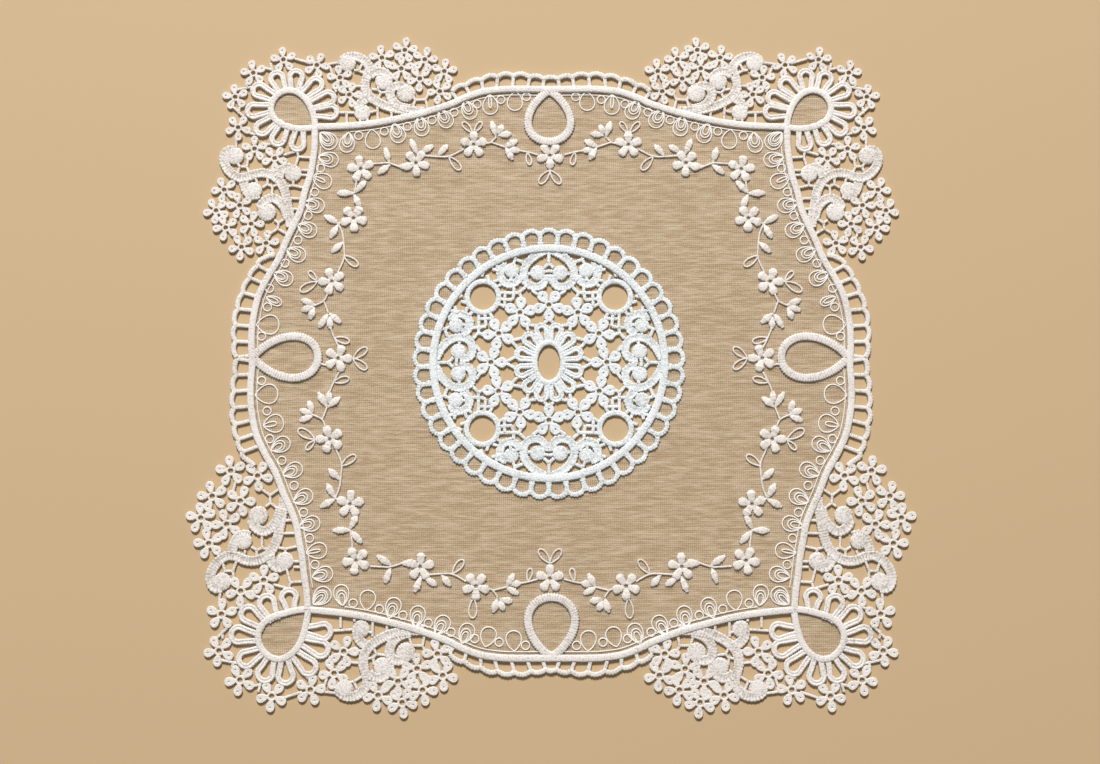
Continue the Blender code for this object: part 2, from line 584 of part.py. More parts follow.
picot_rim = [PICOT_TOP - PICOT_DIP, PICOT_TOP, PICOT_TOP]
rim = [round_line(lambda t: picot_rim[round(t * 3 * PICOTS) % 3], 3 * PICOTS), round_line(lambda t: RING_STEP, 40)]
for k in range(PICOTS):
    gap = []
    for share, r in ((-0.34, RING_OUT), (0.34, RING_OUT), (0.36, 72.0), (0.0, 74.2), (-0.36, 72.0)):
        a = 2 * math.pi * (k + 0.5 + share) / PICOTS
        gap.append((mx + r * math.cos(a), my + r * math.sin(a)))
    rim.append(np.array(gap))
medallion = stepped_plate("centre_medallion", shapes(inner, FINE, SMALL_GAP), (0.0, LACE_THICK), rim, raised)
material(medallion, "medallion_lace_cotton", (0.88, 0.89, 0.90), 0.8)

for obj in (organza, border, medallion):
    lo = np.array([v.co for v in obj.data.vertices]).min(0) * 1000
    hi = np.array([v.co for v in obj.data.vertices]).max(0) * 1000
    obj.data.calc_loop_triangles()
    print(obj.name, "box mm", lo.round(2), hi.round(2), "triangles", len(obj.data.loop_triangles))
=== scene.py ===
# %% [markdown]
# # A lace doily
# A square doily of sheer organza with a needle-lace border and a round lace medallion in the middle.
# The frame holds three plain solids of the right outline. This lesson puts thread on them: strands
# that are swept along curves, small flowers that are made once and copied, and a sheer woven sheet.
# The frame is loaded first, because every new piece has to stay inside its box.

# %% Load the frame
import math

import bpy
import numpy as np
from mathutils import Matrix, Vector, kdtree


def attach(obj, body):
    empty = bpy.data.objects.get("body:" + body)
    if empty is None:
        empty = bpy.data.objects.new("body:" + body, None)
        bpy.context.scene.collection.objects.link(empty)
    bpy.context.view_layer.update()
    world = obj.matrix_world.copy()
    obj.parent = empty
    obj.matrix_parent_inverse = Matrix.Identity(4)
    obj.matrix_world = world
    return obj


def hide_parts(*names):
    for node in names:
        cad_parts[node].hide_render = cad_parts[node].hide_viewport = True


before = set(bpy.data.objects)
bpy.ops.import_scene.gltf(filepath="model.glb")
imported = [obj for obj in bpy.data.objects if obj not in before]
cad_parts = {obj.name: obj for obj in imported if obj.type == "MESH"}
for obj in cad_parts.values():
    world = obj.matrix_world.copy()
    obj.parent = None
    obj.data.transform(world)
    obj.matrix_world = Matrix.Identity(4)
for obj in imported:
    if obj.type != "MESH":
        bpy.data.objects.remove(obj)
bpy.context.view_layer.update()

MM = 0.001

# %% [markdown]
# Lace is charted on paper as one quarter and mirrored. The tables here are in millimetres, x to the
# right and y away from us, and one function sets a point into the frame in metres. The two near
# corners of this doily were pulled out a little further than the far ones, so `slack` moves the points
# of a near corner, and `corner` mirrors a quarter's points into any of the four corners.

# %% Set the chart into the frame
CENTRE = (0.03, -3.38)
CORNER_X, CORNER_Y = 133.8, 135.5
BELLY, HALF_SPAN = 4.6, 134.0
CORNER_DROP = 3


def place(x, y, z=0.0):
    """A chart point in the frame, in metres."""
    return ((x - CENTRE[0]) * MM, (y - CENTRE[1]) * MM, z * MM)


def ease(value, span):
    """Grows from 0 to 1 while the value grows from 0 to span."""
    return min(1.0, max(0.0, value / span))


def near_belly(x):
    """How far the long near edge hangs out at x."""
    return BELLY * (1 - (x / HALF_SPAN) ** 2)


def slack(x, y):
    """A point of a quarter, as it lies in a near corner.

    Outside the cords' crossing the lace fans out towards the tip. Inside it the long edge hangs out in a
    belly, and the lace along it is pulled with it. The crossing itself stays.
    """
    rx, ry = x - CORNER_X, y - CORNER_Y
    near = ease(math.hypot(rx, ry), 12.0)
    if rx > 0 or (ry < -2 and x > 140):
        dx = max(rx, 0) * (0.03 + 0.06 * ease(165 - y, 22))
        dy = CORNER_DROP + 0.13 * ry if ry > 0 else CORNER_DROP - 0.0021 * ry * ry
        return x + dx, y + dy * near
    pull = 0.21 * ease(x - 60, 70) * max(ry, 0)
    edge = CORNER_DROP * ease(x - 115, 19) * near * max(0.0, 1 - max(ry, 0) / 40)
    return x - 0.04 * max(ry, 0), y + near_belly(x) + pull + edge


def corner(points, sx, sy):
    """Quarter points set into corner sx, sy."""
    moved = [slack(x, y) if sy < 0 else (x, y) for x, y in points]
    return [(sx * x, sy * y) for x, y in moved]


def facing(turn, sx, sy):
    """A turn in degrees on the quarter's chart, as it is in corner sx, sy."""
    turn = turn if sx > 0 else 180 - turn
    return turn if sy > 0 else -turn


CORNERS = [(1, 1), (1, -1), (-1, -1), (-1, 1)]
print("corner cord crossing, m:", place(*corner([(CORNER_X, CORNER_Y)], 1, 1)[0]))

# %% [markdown]
# Thread follows soft curves, so a short table of points is enough: `smooth` draws a curve through
# them, and `even` walks along it in equal steps, which gives the stitches an even pitch.
# `teardrop` is the loop that a cord makes when it turns back on itself.

# %% Curve helpers


def smooth(points, per_span=4):
    """A soft curve through the points of a table."""
    p = [points[0]] + list(points) + [points[-1]]
    out = []
    for k in range(1, len(p) - 2):
        a, b, c, d = (np.array(q, float) for q in p[k - 1:k + 3])
        for s in range(per_span):
            t = s / per_span
            q = 0.5 * (2 * b + (c - a) * t + (2 * a - 5 * b + 4 * c - d) * t * t
                       + (3 * b - a - 3 * c + d) * t ** 3)
            out.append((float(q[0]), float(q[1])))
    return out + [tuple(map(float, points[-1]))]


def even(points, step, closed=False):
    """Points in equal steps along a line; an even number of them on a closed one."""
    p = np.array(list(points) + ([points[0]] if closed else []), float)
    run = np.concatenate([[0.0], np.cumsum(np.hypot(*np.diff(p, axis=0).T))])
    count = max(2, round(run[-1] / step))
    count += count % 2 if closed else 0
    at = np.linspace(0, run[-1], count + 1)[:count if closed else count + 1]
    return list(zip(np.interp(at, run, p[:, 0]).tolist(), np.interp(at, run, p[:, 1]).tolist()))


def teardrop(x, y, heading, length, half, blunt=0.75, count=40):
    """A closed loop with its point at x, y; a higher blunt makes the far end rounder."""
    c, s = math.cos(math.radians(heading)), math.sin(math.radians(heading))
    peak = max(math.sin(t) * math.sin(t / 2) ** blunt for t in np.linspace(0, math.pi, 200))
    pts = []
    for k in range(count):
        t = 2 * math.pi * k / count
        along = length * (1 - math.cos(t)) / 2
        across = half / peak * math.sin(t) * abs(math.sin(t / 2)) ** blunt
        pts.append((x + along * c - across * s, y + along * s + across * c))
    return pts


def ring_line(x, y, radius, count=32, squeeze=1.0):
    """A circle, or an oval when squeeze isn't 1."""
    turns = [2 * math.pi * k / count for k in range(count)]
    return [(x + radius * math.cos(t), y + radius * squeeze * math.sin(t)) for t in turns]


print("a 10 mm circle in 1 mm steps has", len(even(ring_line(0, 0, 5), 1.0, True)), "points")

# %% [markdown]
# Satin stitch is thread wound side by side across a cord, so a satin strand is a rounded bar with
# fine ribs across it. In Blender a curve with a bevel object sweeps a section along a path, and each
# point of the path has a radius: every second point a little smaller gives the ribs. The sections are
# half profiles that lie on the cloth: a dome for padded bands, one with two crowns for the double
# loops, one with raised rims for the scrolls, and a plain four-sided one for single threads.

# %% Sweep a stitched strand


def both_halves(left, middle):
    """A section from its left half, mirrored, with its middle point between."""
    return left + [middle] + [(-x, y) for x, y in reversed(left)]


DOME = both_halves([(-1, 0), (-1, 0.5), (-0.88, 0.82), (-0.62, 0.96)], (0, 1))
TWIN = both_halves([(-1, 0), (-0.96, 0.75), (-0.68, 0.98), (-0.25, 0.94)], (0, 0.72))
RIMMED = both_halves([(-1, 0), (-0.96, 0.7), (-0.76, 1), (-0.52, 0.7)], (0, 0.86))
THREAD = [(-1, 0), (-0.6, 0.9), (0.6, 0.9), (1, 0)]


def take(piece):
    """Selects one piece alone and makes it active."""
    bpy.ops.object.select_all(action="DESELECT")
    piece.select_set(True)
    bpy.context.view_layer.objects.active = piece


def close_up(piece):
    """Merges doubles and turns the faces outwards."""
    take(piece)
    bpy.ops.object.mode_set(mode="EDIT")
    bpy.ops.mesh.select_all(action="SELECT")
    bpy.ops.mesh.remove_doubles(threshold=0.004 * MM)
    bpy.ops.mesh.normals_make_consistent(inside=False)
    bpy.ops.object.mode_set(mode="OBJECT")
    bpy.ops.object.shade_smooth()


def blank_path(name):
    """A new path with nothing on it yet."""
    bpy.ops.object.select_all(action="DESELECT")
    bpy.ops.curve.primitive_nurbs_path_add(location=(0, 0, 0))
    path = bpy.context.object
    path.name = name
    path.data.splines.clear()
    return path


def paint_crease_shade(piece, spots):
    """Stores on each vertex how much shade is painted on it, for the dips between stitches; the spots are
    path points x, y, z, depth.
    """
    near = kdtree.KDTree(len(spots))
    for k, spot in enumerate(spots):
        near.insert(spot[:3], k)
    near.balance()
    painted_shade = piece.data.attributes.new("painted_shade", "FLOAT", "POINT")
    for v in piece.data.vertices:
        painted_shade.data[v.index].value = spots[near.find(v.co)[1]][3]


def strand(name, lines, half, height, base, pitch, ripple, section=DOME, closed=False, swell=None,
           uneven=0.05, depth=0.35):
    """Lines of the chart as ribbed strands.

    half, height and base size the section and lift it, pitch is one stitch, ripple is how far its ribs
    draw in, and depth is how dark the shade painted into its creases is. swell gives the width along an open
    line, from 0 to 1.
    """
    rng = np.random.default_rng(11)
    spots = []
    outline = blank_path(name + "_section")
    outline.data.dimensions = "2D"
    shape = outline.data.splines.new("POLY")
    shape.points.add(len(section) - 1)
    shape.use_cyclic_u = True
    for point, (x, y) in zip(shape.points, section):
        point.co = (x * half * MM, y * height * MM, 0, 1)
    path = blank_path(name)
    path.data.dimensions = "3D"
    for line in lines:
        pts = even(line, pitch / 2, closed)
        spline = path.data.splines.new("POLY")
        spline.points.add(len(pts) - 1)
        spline.use_cyclic_u = closed
        for k, (x, y) in enumerate(pts):
            wide = swell(k / (len(pts) - 1)) if swell else 1.0
            spline.points[k].co = (*place(x, y, base), 1)
            spline.points[k].radius = wide * (1 - ripple * (k % 2)) * rng.uniform(1 - uneven, 1)
            # every second point lies in a dip between two stitches and gets painted shade
            spots.append((*place(x, y, base), (k % 2) * depth * rng.uniform(0.5, 1)))
    path.data.twist_mode = "Z_UP"
    path.data.bevel_mode = "OBJECT"
    path.data.bevel_object = outline
    path.data.use_fill_caps = True
    take(path)
    bpy.ops.object.convert(target="MESH")
    bpy.data.objects.remove(outline)
    close_up(path)
    paint_crease_shade(path, spots)
    return path


def join(name, parts):
    """Several meshes as one piece."""
    bpy.ops.object.select_all(action="DESELECT")
    for part in parts:
        part.select_set(True)
    bpy.context.view_layer.objects.active = parts[0]
    bpy.ops.object.join()
    piece = bpy.context.object
    piece.name = piece.data.name = name
    print(name, "faces:", len(piece.data.polygons))
    return piece


def stamp(name, pattern, spots):
    """Copies of one small pattern, each with its own mesh, at chart spots x, y, turn in degrees, size."""
    copies = []
    for x, y, turn, size in spots:
        copy = bpy.data.objects.new(name, pattern.data.copy())
        bpy.context.scene.collection.objects.link(copy)
        spot = Vector(place(x, y))
        copy.data.transform(Matrix.Translation(spot) @ Matrix.Rotation(math.radians(turn), 4, "Z")
                            @ Matrix.Diagonal((size, size, 1, 1)))
        copies.append(copy)
    bpy.data.objects.remove(pattern)
    return join(name, copies)


print("sections:", [len(s) for s in (DOME, TWIN, RIMMED, THREAD)], "points")

# %% [markdown]
# The cord is the backbone of the border. Its four long curves lie over the edge of the organza and meet
# at the corners, where a loop of the same cord stands outwards. It rises well above the lace outside it.

# %% Border cord and corner loops
CORD_TOP_LINE = [(0, 157.3), (20, 157.5), (30, 157.1), (40, 155.6), (50, 152), (56.3, 149), (72.1, 143.8),
                 (82.6, 141.2), (98.4, 138), (114.2, 136.2), (133.8, 135.5)]
CORD_SIDE_LINE = [(166.9, 0), (167.5, 10), (167.4, 20), (166.1, 30), (163.6, 40), (158.8, 50), (153, 60),
                  (148.3, 71.7), (144.4, 80), (141.1, 88.3), (139.4, 96.7), (136.1, 107.8), (134.4, 118.9),
                  (133.9, 124.4), (133.8, 135.5)]
CORNER_LOOP = (133.8, 135.5, 36.4, 28.6, 10.2)
# where the cord, the lace, its thin bars and the work that lies on the organza start, above the table
CORD_BASE, LACE_BASE, BAR_BASE, OVER_CLOTH = 0.9, 0.3, 0.5, 0.95
NEAR_BULGE = 1.5


def cord_line(which, sx, sy):
    """Half of a cord, from the middle of a side to the corner crossing."""
    if which == "side":
        bulge = NEAR_BULGE if sy < 0 else 0.0
        return [(sx * (x + bulge * max(0.0, 1 - ((y - 115) / 15) ** 2)), sy * y) for x, y in CORD_SIDE_LINE]
    return [(sx * x, sy * (y + (near_belly(x) if sy < 0 else 0.0))) for x, y in CORD_TOP_LINE]


def whole_side(which, sign):
    """A whole cord, from one crossing to the next."""
    one, two = ((sign, 1), (sign, -1)) if which == "side" else ((1, sign), (-1, sign))
    return smooth(cord_line(which, *one)[::-1] + cord_line(which, *two)[1:])


cord_lines = [whole_side(which, sign) for which in ("top", "side") for sign in (1, -1)]
corner_loops = [corner(teardrop(*CORNER_LOOP), sx, sy) for sx, sy in CORNERS]
long_cords = strand("long_cords", cord_lines, half=2.1, height=1.35, base=CORD_BASE, pitch=1.2, ripple=0.1,
                    depth=0.2)
loop_cords = strand("loop_cords", corner_loops, half=2.0, height=1.25, base=CORD_BASE, pitch=1.2, ripple=0.1,
                    closed=True, depth=0.2)
border_cord = join("border_cord", [long_cords, loop_cords])

# %% [markdown]
# In the middle of each side a wide satin loop stands inwards on the organza. Its stitches run across
# the ribbon, like the spokes of a wheel, so it is swept in the same way with a wider, flatter section.

# %% Side loops
# point x, y, heading in degrees, length, half width
SIDE_LOOPS = [(-1.0, 156.2, -90, 29.2, 12.1), (0.2, -161, 90, 32.2, 12.9),
              (-166.0, 4.2, 0, 35.8, 11.7), (165.6, 4.2, 180, 37.0, 11.7)]
side_loops = strand("border_side_loops", [teardrop(*row, blunt=0.6, count=60) for row in SIDE_LOOPS],
                    half=2.65, height=1.3, base=OVER_CLOTH, pitch=1.4, ripple=0.24, closed=True, depth=0.7)
print("side loops' faces:", len(side_loops.data.polygons))

# %% [markdown]
# At each corner ten double loops stand round the corner loop like the rays of a sun. Each is one
# doubled cord that runs out, turns round a narrow slot and comes back: the section has two crowns.

# %% Rosette loops
# foot x, y and tip x, y
ROSETTE = [(134.5, 143.9, 119.8, 144.6), (137, 148, 121.8, 154.2), (141, 153.5, 129.8, 163.6),
           (145.6, 156.8, 144.6, 169.8), (152.5, 156, 158, 168.3), (157.3, 152.6, 170.6, 159),
           (159, 146.3, 174, 144.2), (155.3, 141, 168, 131.6), (150.5, 138, 156.8, 124),
           (142.5, 134, 144.2, 120.6)]
# width over a loop and half the distance between its feet, far and near
FAR_LOOP, NEAR_LOOP = (10.6, 2.0), (11.8, 1.7)
LANE, NECK, TUCKED_IN = 1.75, 0.35, 0.4


def long_loop(fx, fy, tx, ty, lane, wide, foot_wide):
    """The middle line of a doubled cord, half as wide as lane, that runs out from its foot and back."""
    foot, tip = np.array((fx, fy)), np.array((tx, ty))
    reach = float(np.hypot(*(tip - foot)))
    ax = (tip - foot) / reach
    side = np.array((-ax[1], ax[0]))
    r = wide / 2 - lane
    turns = [math.radians(a) for a in range(90, -91, -15)]
    arc = [(reach - lane - r + r * math.cos(a), r * math.sin(a)) for a in turns]
    line = [(-TUCKED_IN, foot_wide), (reach * NECK, (foot_wide + r) / 2)] + arc
    line += [(reach * NECK, -(foot_wide + r) / 2), (-TUCKED_IN, -foot_wide)]
    return [tuple(map(float, foot + ax * u + side * v)) for u, v in line]


rosette_lines = []
for sx, sy in CORNERS:
    for row in ROSETTE:
        foot, tip = corner([row[:2], row[2:]], sx, sy)
        rosette_lines.append(long_loop(*foot, *tip, LANE, *(FAR_LOOP if sy > 0 else NEAR_LOOP)))
rosettes = strand("border_rosettes", rosette_lines, half=1.8, height=1.7, base=LACE_BASE, pitch=1.3,
                  ripple=0.12, section=TWIN, depth=0.2)
print("rosettes' faces:", len(rosettes.data.polygons))

# %% [markdown]
# The scrolls are broad bands of satin stitch with a raised rim, and each winds up in a round button.
# The bands are swept. A button starts as a sphere that is pressed into a low cushion, and every second
# spoke of it is drawn in a little, which gives the stitches that meet in its middle.

# %% Scroll bands and buttons
# the middle line of each band: x, y
SCROLLS = [[(118.6, 171.8), (118.3, 174.4), (116, 176), (112.6, 176.5), (109, 175.8), (105.4, 173.3),
            (103.4, 169.6), (104.2, 166), (105.6, 161.5), (105.4, 157), (102.8, 153), (98.7, 150),
            (94, 147.7), (88, 146), (80, 144.9), (72, 144.6)],
           [(93.2, 160.8), (92.5, 163.6), (93.6, 166.2), (96.5, 167.6), (100.3, 167.1), (103, 165.2)],
           [(82, 157.6), (85.5, 159.2), (89.5, 158.6), (91.3, 155.8), (91, 152.6), (89, 149.6),
            (85.5, 147.2), (80, 145.8)],
           [(109.2, 145), (109, 147.8), (106.6, 150.6), (102.6, 152.8)],
           [(179, 121.8), (182.4, 122), (184.8, 119.4), (185, 115.4), (183.1, 111.4), (180, 108.1),
            (176, 106.2), (171.5, 106.6), (167.5, 108.3), (162.5, 108.9), (157.3, 107.4), (153.3, 104),
            (150.3, 98.5), (148.9, 92), (147.6, 85), (146.8, 78)],
           [(165, 96.8), (167.8, 96), (171.2, 97.4), (173.1, 101), (174.2, 105.2)],
           [(161.5, 88), (163.6, 90), (161, 93.2), (157, 94.5), (153, 92.2), (150.2, 88.4), (148.6, 83)],
           [(146, 110.6), (149.2, 112.2), (152.6, 110.2), (153.9, 106)]]
# x, y, radius
BUTTONS = [(115.9, 172.6, 5.0), (95.2, 162.0, 5.1), (82.4, 155.2, 5.4), (107.1, 144.0, 4.9),
           (178.8, 118.8, 5.1), (168.0, 99.0, 4.9), (160.3, 86.6, 5.4), (145.9, 108.7, 5.0)]
BUTTON_R, BUTTON_HIGH = 5.0, 1.5
NEAR_GROWTH = 1.03
# scale and shift in x, then in y, of a near scroll along the long edge and of one down the side
NEAR_LONG, NEAR_DOWN = (1.0, -2.7, 1.13, -16.7), (1.045, -5.6, 1.13, -14)


def scroll_corner(points, sx, sy):
    """Scroll points set into corner sx, sy; in a near corner a scroll keeps its shape, a little stretched."""
    set_in = []
    for x, y in points:
        if sy < 0:
            wide, right, deep, down = NEAR_LONG if y > x else NEAR_DOWN
            x, y = wide * x + right, deep * y + down
        set_in.append((sx * x, sy * y))
    return set_in


def button(spokes=18):
    """A padded round of satin stitch; every second spoke is drawn in and dented, as between two stitches, and
    has shade painted on it.
    """
    bpy.ops.object.select_all(action="DESELECT")
    bpy.ops.mesh.primitive_uv_sphere_add(segments=2 * spokes, ring_count=12, radius=BUTTON_R * MM)
    pad = bpy.context.object
    painted_shade = pad.data.attributes.new("painted_shade", "FLOAT", "POINT")
    for v in pad.data.vertices:
        r = math.hypot(v.co.x, v.co.y) / (BUTTON_R * MM)
        spoke = round(math.atan2(v.co.y, v.co.x) / (math.pi / spokes))
        draw = 1 - 0.05 * (spoke % 2) * min(1.0, 2 * r)
        dome = math.copysign(max(0.0, 1 - r ** 7) ** 0.5, v.co.z)
        dent = 0.45 * (spoke % 2) * r
        v.co.x, v.co.y = v.co.x * draw, v.co.y * draw
        v.co.z = (LACE_BASE + BUTTON_HIGH * (0.5 + 0.5 * dome * (1 - dent))) * MM
        # painted shade on every second spoke, growing away from the middle
        painted_shade.data[v.index].value = 0.5 * (spoke % 2) * min(1.0, 1.5 * r)
    bpy.ops.object.shade_smooth()
    return pad


scroll_parts, button_spots = [], []
for sy, growth in ((1, 1.0), (-1, NEAR_GROWTH)):
    lines = [scroll_corner(smooth(line, 6), sx, sy) for sx in (1, -1) for line in SCROLLS]
    scroll_parts.append(strand("scroll_bands", lines, half=3.0 * growth, height=1.6, base=LACE_BASE,
                               pitch=1.6, ripple=0.1, section=RIMMED, depth=0.9))
    for sx in (1, -1):
        for x, y, radius in BUTTONS:
            (bx, by), = scroll_corner([(x, y)], sx, sy)
            button_spots.append((bx, by, 0, radius / BUTTON_R))
scroll_parts.append(stamp("scroll_buttons", button(), button_spots))
border_scrolls = join("border_scrolls", scroll_parts)

# %% [markdown]
# The small flowers fill the corners. One petal starts as a torus, because each has a pin-hole near its
# tip. In edit mode its crown is drawn in round the pin-hole, the half that faces the middle is stretched
# and narrowed to a drop, and the top is pressed flat, as lace is when it has been ironed. Five petals
# and a ring make a flower, which is copied to every place in the chart, turned as it lies there.

# %% Border flowers
# x, y, turn in degrees
FLOWERS = [(152.4, 174.5, 11), (169.4, 166.8, 8), (179.4, 152.8, 10), (177.4, 135.1, 52),
           (133.3, 171.3, 42), (120.1, 164, 8), (114.6, 154.1, 36), (96.3, 175.6, 10), (83.3, 180.1, 26),
           (71.9, 174.6, 32), (60.7, 167.7, 24), (85.2, 169.3, 18), (74.6, 163.4, 58), (63.2, 156, 68),
           (167.9, 122.8, 16), (156.4, 117.3, 53), (184.6, 99.2, 68), (175.7, 90.2, 2), (188.9, 87.3, 60),
           (169, 79.6, 34), (183.3, 77.5, 68), (160.4, 68.6, 25), (174.2, 66.4, 62)]


def pick(piece, test):
    """Selects the vertices of a piece that pass a test on their place in millimetres."""
    for part in (*piece.data.polygons, *piece.data.edges):
        part.select = False
    for v in piece.data.vertices:
        v.select = bool(test(v.co.x / MM, v.co.y / MM, v.co.z / MM))


# how near the middle the petals end, then the radius of the ring there and half its thickness
HEART, HEART_RING, HEART_CORD = 1.5, 1.9, 0.65
FLOWER_BASE, FLOWER_HIGH = 0.25, 1.4
FAR_SIZE, NEAR_SIZE = 0.95, 1.08


def petal_flower(reach, half):
    """A five-petal flower in the middle of the frame; a petal's pin-hole lies near its tip."""
    hole_at = reach - half
    tube = 0.45 * half
    middle, top = FLOWER_BASE + FLOWER_HIGH / 2, FLOWER_BASE + FLOWER_HIGH

    def resize(test, value, at):
        """Scales the petal's vertices that pass the test about a point."""
        pick(petal, test)
        bpy.ops.object.mode_set(mode="EDIT")
        bpy.ops.transform.resize(value=value, center_override=at)
        bpy.ops.object.mode_set(mode="OBJECT")

    bpy.ops.object.select_all(action="DESELECT")
    bpy.ops.mesh.primitive_torus_add(major_segments=18, minor_segments=8, major_radius=(half - tube) * MM,
                                     minor_radius=tube * MM, location=(0, 0, 0))
    petal = bpy.context.object
    bpy.ops.object.mode_set(mode="EDIT")
    bpy.ops.mesh.select_all(action="SELECT")
    bpy.ops.transform.translate(value=(hole_at * MM, 0, 0))
    bpy.ops.transform.resize(value=(1, 1, FLOWER_HIGH / 2 / tube), center_override=(0, 0, 0))
    bpy.ops.transform.translate(value=(0, 0, middle * MM))
    bpy.ops.object.mode_set(mode="OBJECT")
    # the crown is drawn in round the pin-hole
    resize(lambda x, y, z: z > FLOWER_BASE + 0.95 * FLOWER_HIGH, (0.66, 0.66, 1), (hole_at * MM, 0, 0))
    # the inner half is stretched to the heart, and narrowed twice on the way
    to_heart = (hole_at - HEART) / half
    for inward, stretch, narrow in ((0, to_heart, 1.0), (1.4, 1.0, 0.9), (2.8, 1.0, 0.85)):
        below = hole_at - inward
        resize(lambda x, y, z: x < below - 0.01 and math.hypot(x - hole_at, y) > 0.4 * half,
               (stretch, narrow, 1), (below * MM, 0, 0))
    # the top is pressed flat
    resize(lambda x, y, z: z > FLOWER_BASE + 0.7 * FLOWER_HIGH, (1, 1, 0.4), (0, 0, top * MM))
    petals = [petal]
    for k in range(1, 5):
        copy = bpy.data.objects.new("petal", petal.data.copy())
        bpy.context.scene.collection.objects.link(copy)
        copy.data.transform(Matrix.Rotation(math.radians(72 * k), 4, "Z"))
        petals.append(copy)
    bpy.ops.mesh.primitive_torus_add(major_segments=18, minor_segments=6, major_radius=HEART_RING * MM,
                                     minor_radius=HEART_CORD * MM, location=(0, 0, middle * MM))
    ring = bpy.context.object
    take(ring)
    bpy.ops.object.transform_apply(location=True)
    flower = join("flower", petals + [ring])
    take(flower)
    bpy.ops.object.shade_smooth_by_angle(angle=math.radians(38))
    return flower


flower_spots = []
for sx, sy in CORNERS:
    for x, y, turn in FLOWERS:
        (fx, fy), = corner([(x, y)], sx, sy)
        flower_spots.append((fx, fy, facing(turn, sx, sy), FAR_SIZE if sy > 0 else NEAR_SIZE))
border_flowers = stamp("border_flowers", petal_flower(reach=8.1, half=2.35), flower_spots)

# %% [markdown]
# Thin bars of buttonhole stitch, which lace-makers call brides, tie the motifs to each other and to
# the cord. They are the lowest and thinnest part of the lace.

# %% Bars
# from x, y to x, y
BARS = [(127, 172, 119.6, 173.2), (126, 170.5, 124.2, 166), (112, 168.6, 109.4, 168.2),
        (109.4, 168.2, 104.6, 165.8), (109.4, 168.2, 107.6, 172), (105.6, 159.6, 112.5, 159),
        (103.4, 153.6, 109, 153.9), (120, 144, 108.6, 143.6), (116, 143, 115.8, 135.8),
        (108.3, 140, 108.3, 136), (104.2, 140.4, 104, 136.2), (102.6, 144, 98.6, 145),
        (98.6, 147, 98.1, 137.4), (90.6, 145, 90.4, 138.8), (84.4, 144, 84.3, 140),
        (98.2, 160.8, 98.4, 157), (98.4, 157, 101.8, 157.6), (98.4, 157, 96.6, 155.4),
        (96.6, 155.4, 91.4, 156), (96.6, 155.4, 98.2, 152.2), (98.2, 152.2, 94.6, 150),
        (92, 165.2, 87.4, 166), (87.6, 167, 87.8, 160), (78.4, 154, 77.2, 151.2), (77.2, 151.2, 78.6, 146),
        (77.2, 151.2, 71.2, 151.4), (71.2, 151.4, 69.6, 144), (71.2, 151.4, 69.4, 155.4),
        (159.6, 172.5, 158.4, 168), (145.8, 175.2, 136.4, 172.4), (163.6, 170, 158.6, 168.8),
        (178.6, 157.2, 170, 158.8), (173.4, 160.8, 172.6, 158.6), (180.6, 147.2, 174.4, 141.6),
        (176.9, 147, 177.2, 143), (134, 166, 131.4, 162.6), (178.6, 129, 178.2, 121),
        (172.4, 132.6, 167.4, 131), (123, 158.4, 122, 155.6), (143.6, 121, 143, 118.3),
        (143, 118.3, 135.6, 117.8), (143, 118.3, 144.9, 111.6), (141.4, 110.6, 136.4, 110.6),
        (141.4, 107.8, 136.8, 107.8), (145.6, 105, 145.8, 101.8), (149.6, 101, 145.8, 101.8),
        (145.8, 101.8, 139.2, 100.4), (147.6, 94.4, 140, 94.2), (146.6, 88.4, 141.4, 88.2),
        (166.9, 106, 165.9, 102.4), (160.2, 106, 160.2, 102.4), (160.2, 102.4, 163, 100.6),
        (160.2, 102.4, 157.4, 101.2), (157.4, 101.2, 154.9, 102), (157.4, 101.2, 157.7, 95.4),
        (156, 82, 153.6, 80.4), (153.6, 80.4, 154, 77), (154, 77, 159, 73.8), (154, 77, 148, 73.4),
        (153.6, 80.4, 149.8, 83), (177.4, 70, 178.8, 75), (171.4, 70.6, 173, 76),
        (177.2, 114.4, 176, 112.6), (176, 112.6, 172, 112.6), (176, 112.6, 177.6, 107.8),
        (172, 112.6, 170.4, 107.8), (172, 112.6, 171.6, 116.6), (151.4, 119.4, 144.4, 121.4),
        (162.6, 125, 158, 126)]
bar_lines = [corner([(ax, ay), (bx, by)], sx, sy) for sx, sy in CORNERS for ax, ay, bx, by in BARS]
border_bars = strand("border_bars", bar_lines, half=0.85, height=1.1, base=BAR_BASE, pitch=1.1, ripple=0.18)
print("bars' faces:", len(border_bars.data.polygons))

# %% [markdown]
# Along the middle of each side the border is a ladder: short rungs stand out from the cord and carry
# an outer cord that bulges a little between two rungs. The feet are found on the cord's own line.

# %% Ladder edge
# the rim's x, y, then each rung's foot and head along the side
TOP_RIM = [(0, 163.0), (8, 163.8), (17, 165.1), (26, 165.1), (35, 164.0), (44, 161.4), (52, 158.2),
           (57, 155.6)]
TOP_RUNGS = [(4.6, 4.1), (13, 12.2), (21.8, 21.4), (31, 30.4), (38.6, 39.6), (46.4, 48.6), (53.4, 56.4)]
SIDE_RIM = [(175.2, 0), (176.3, 10), (176.8, 20), (175.8, 30), (173, 40), (168.6, 50), (164, 57), (161, 61)]
SIDE_RUNGS = [(1.4, 0.4), (9.2, 9.4), (18, 18.6), (27, 27.8), (34.8, 37), (42.4, 45.4), (49, 52.4)]
SIDE_MID, SIDE_END = 3.6, 56.8
RUNG_START, NEAR_PULL, SCALLOP = 1.2, 2.2, 1.4
FAR_TURN, NEAR_TURN = [(-3.0, 1.2), (-6.2, 1.6)], [(-2.2, -1.6), (-4.0, -3.4)]
BULGES = ((0, 0), (0.25, 0.8), (0.5, 1), (0.75, 0.8))


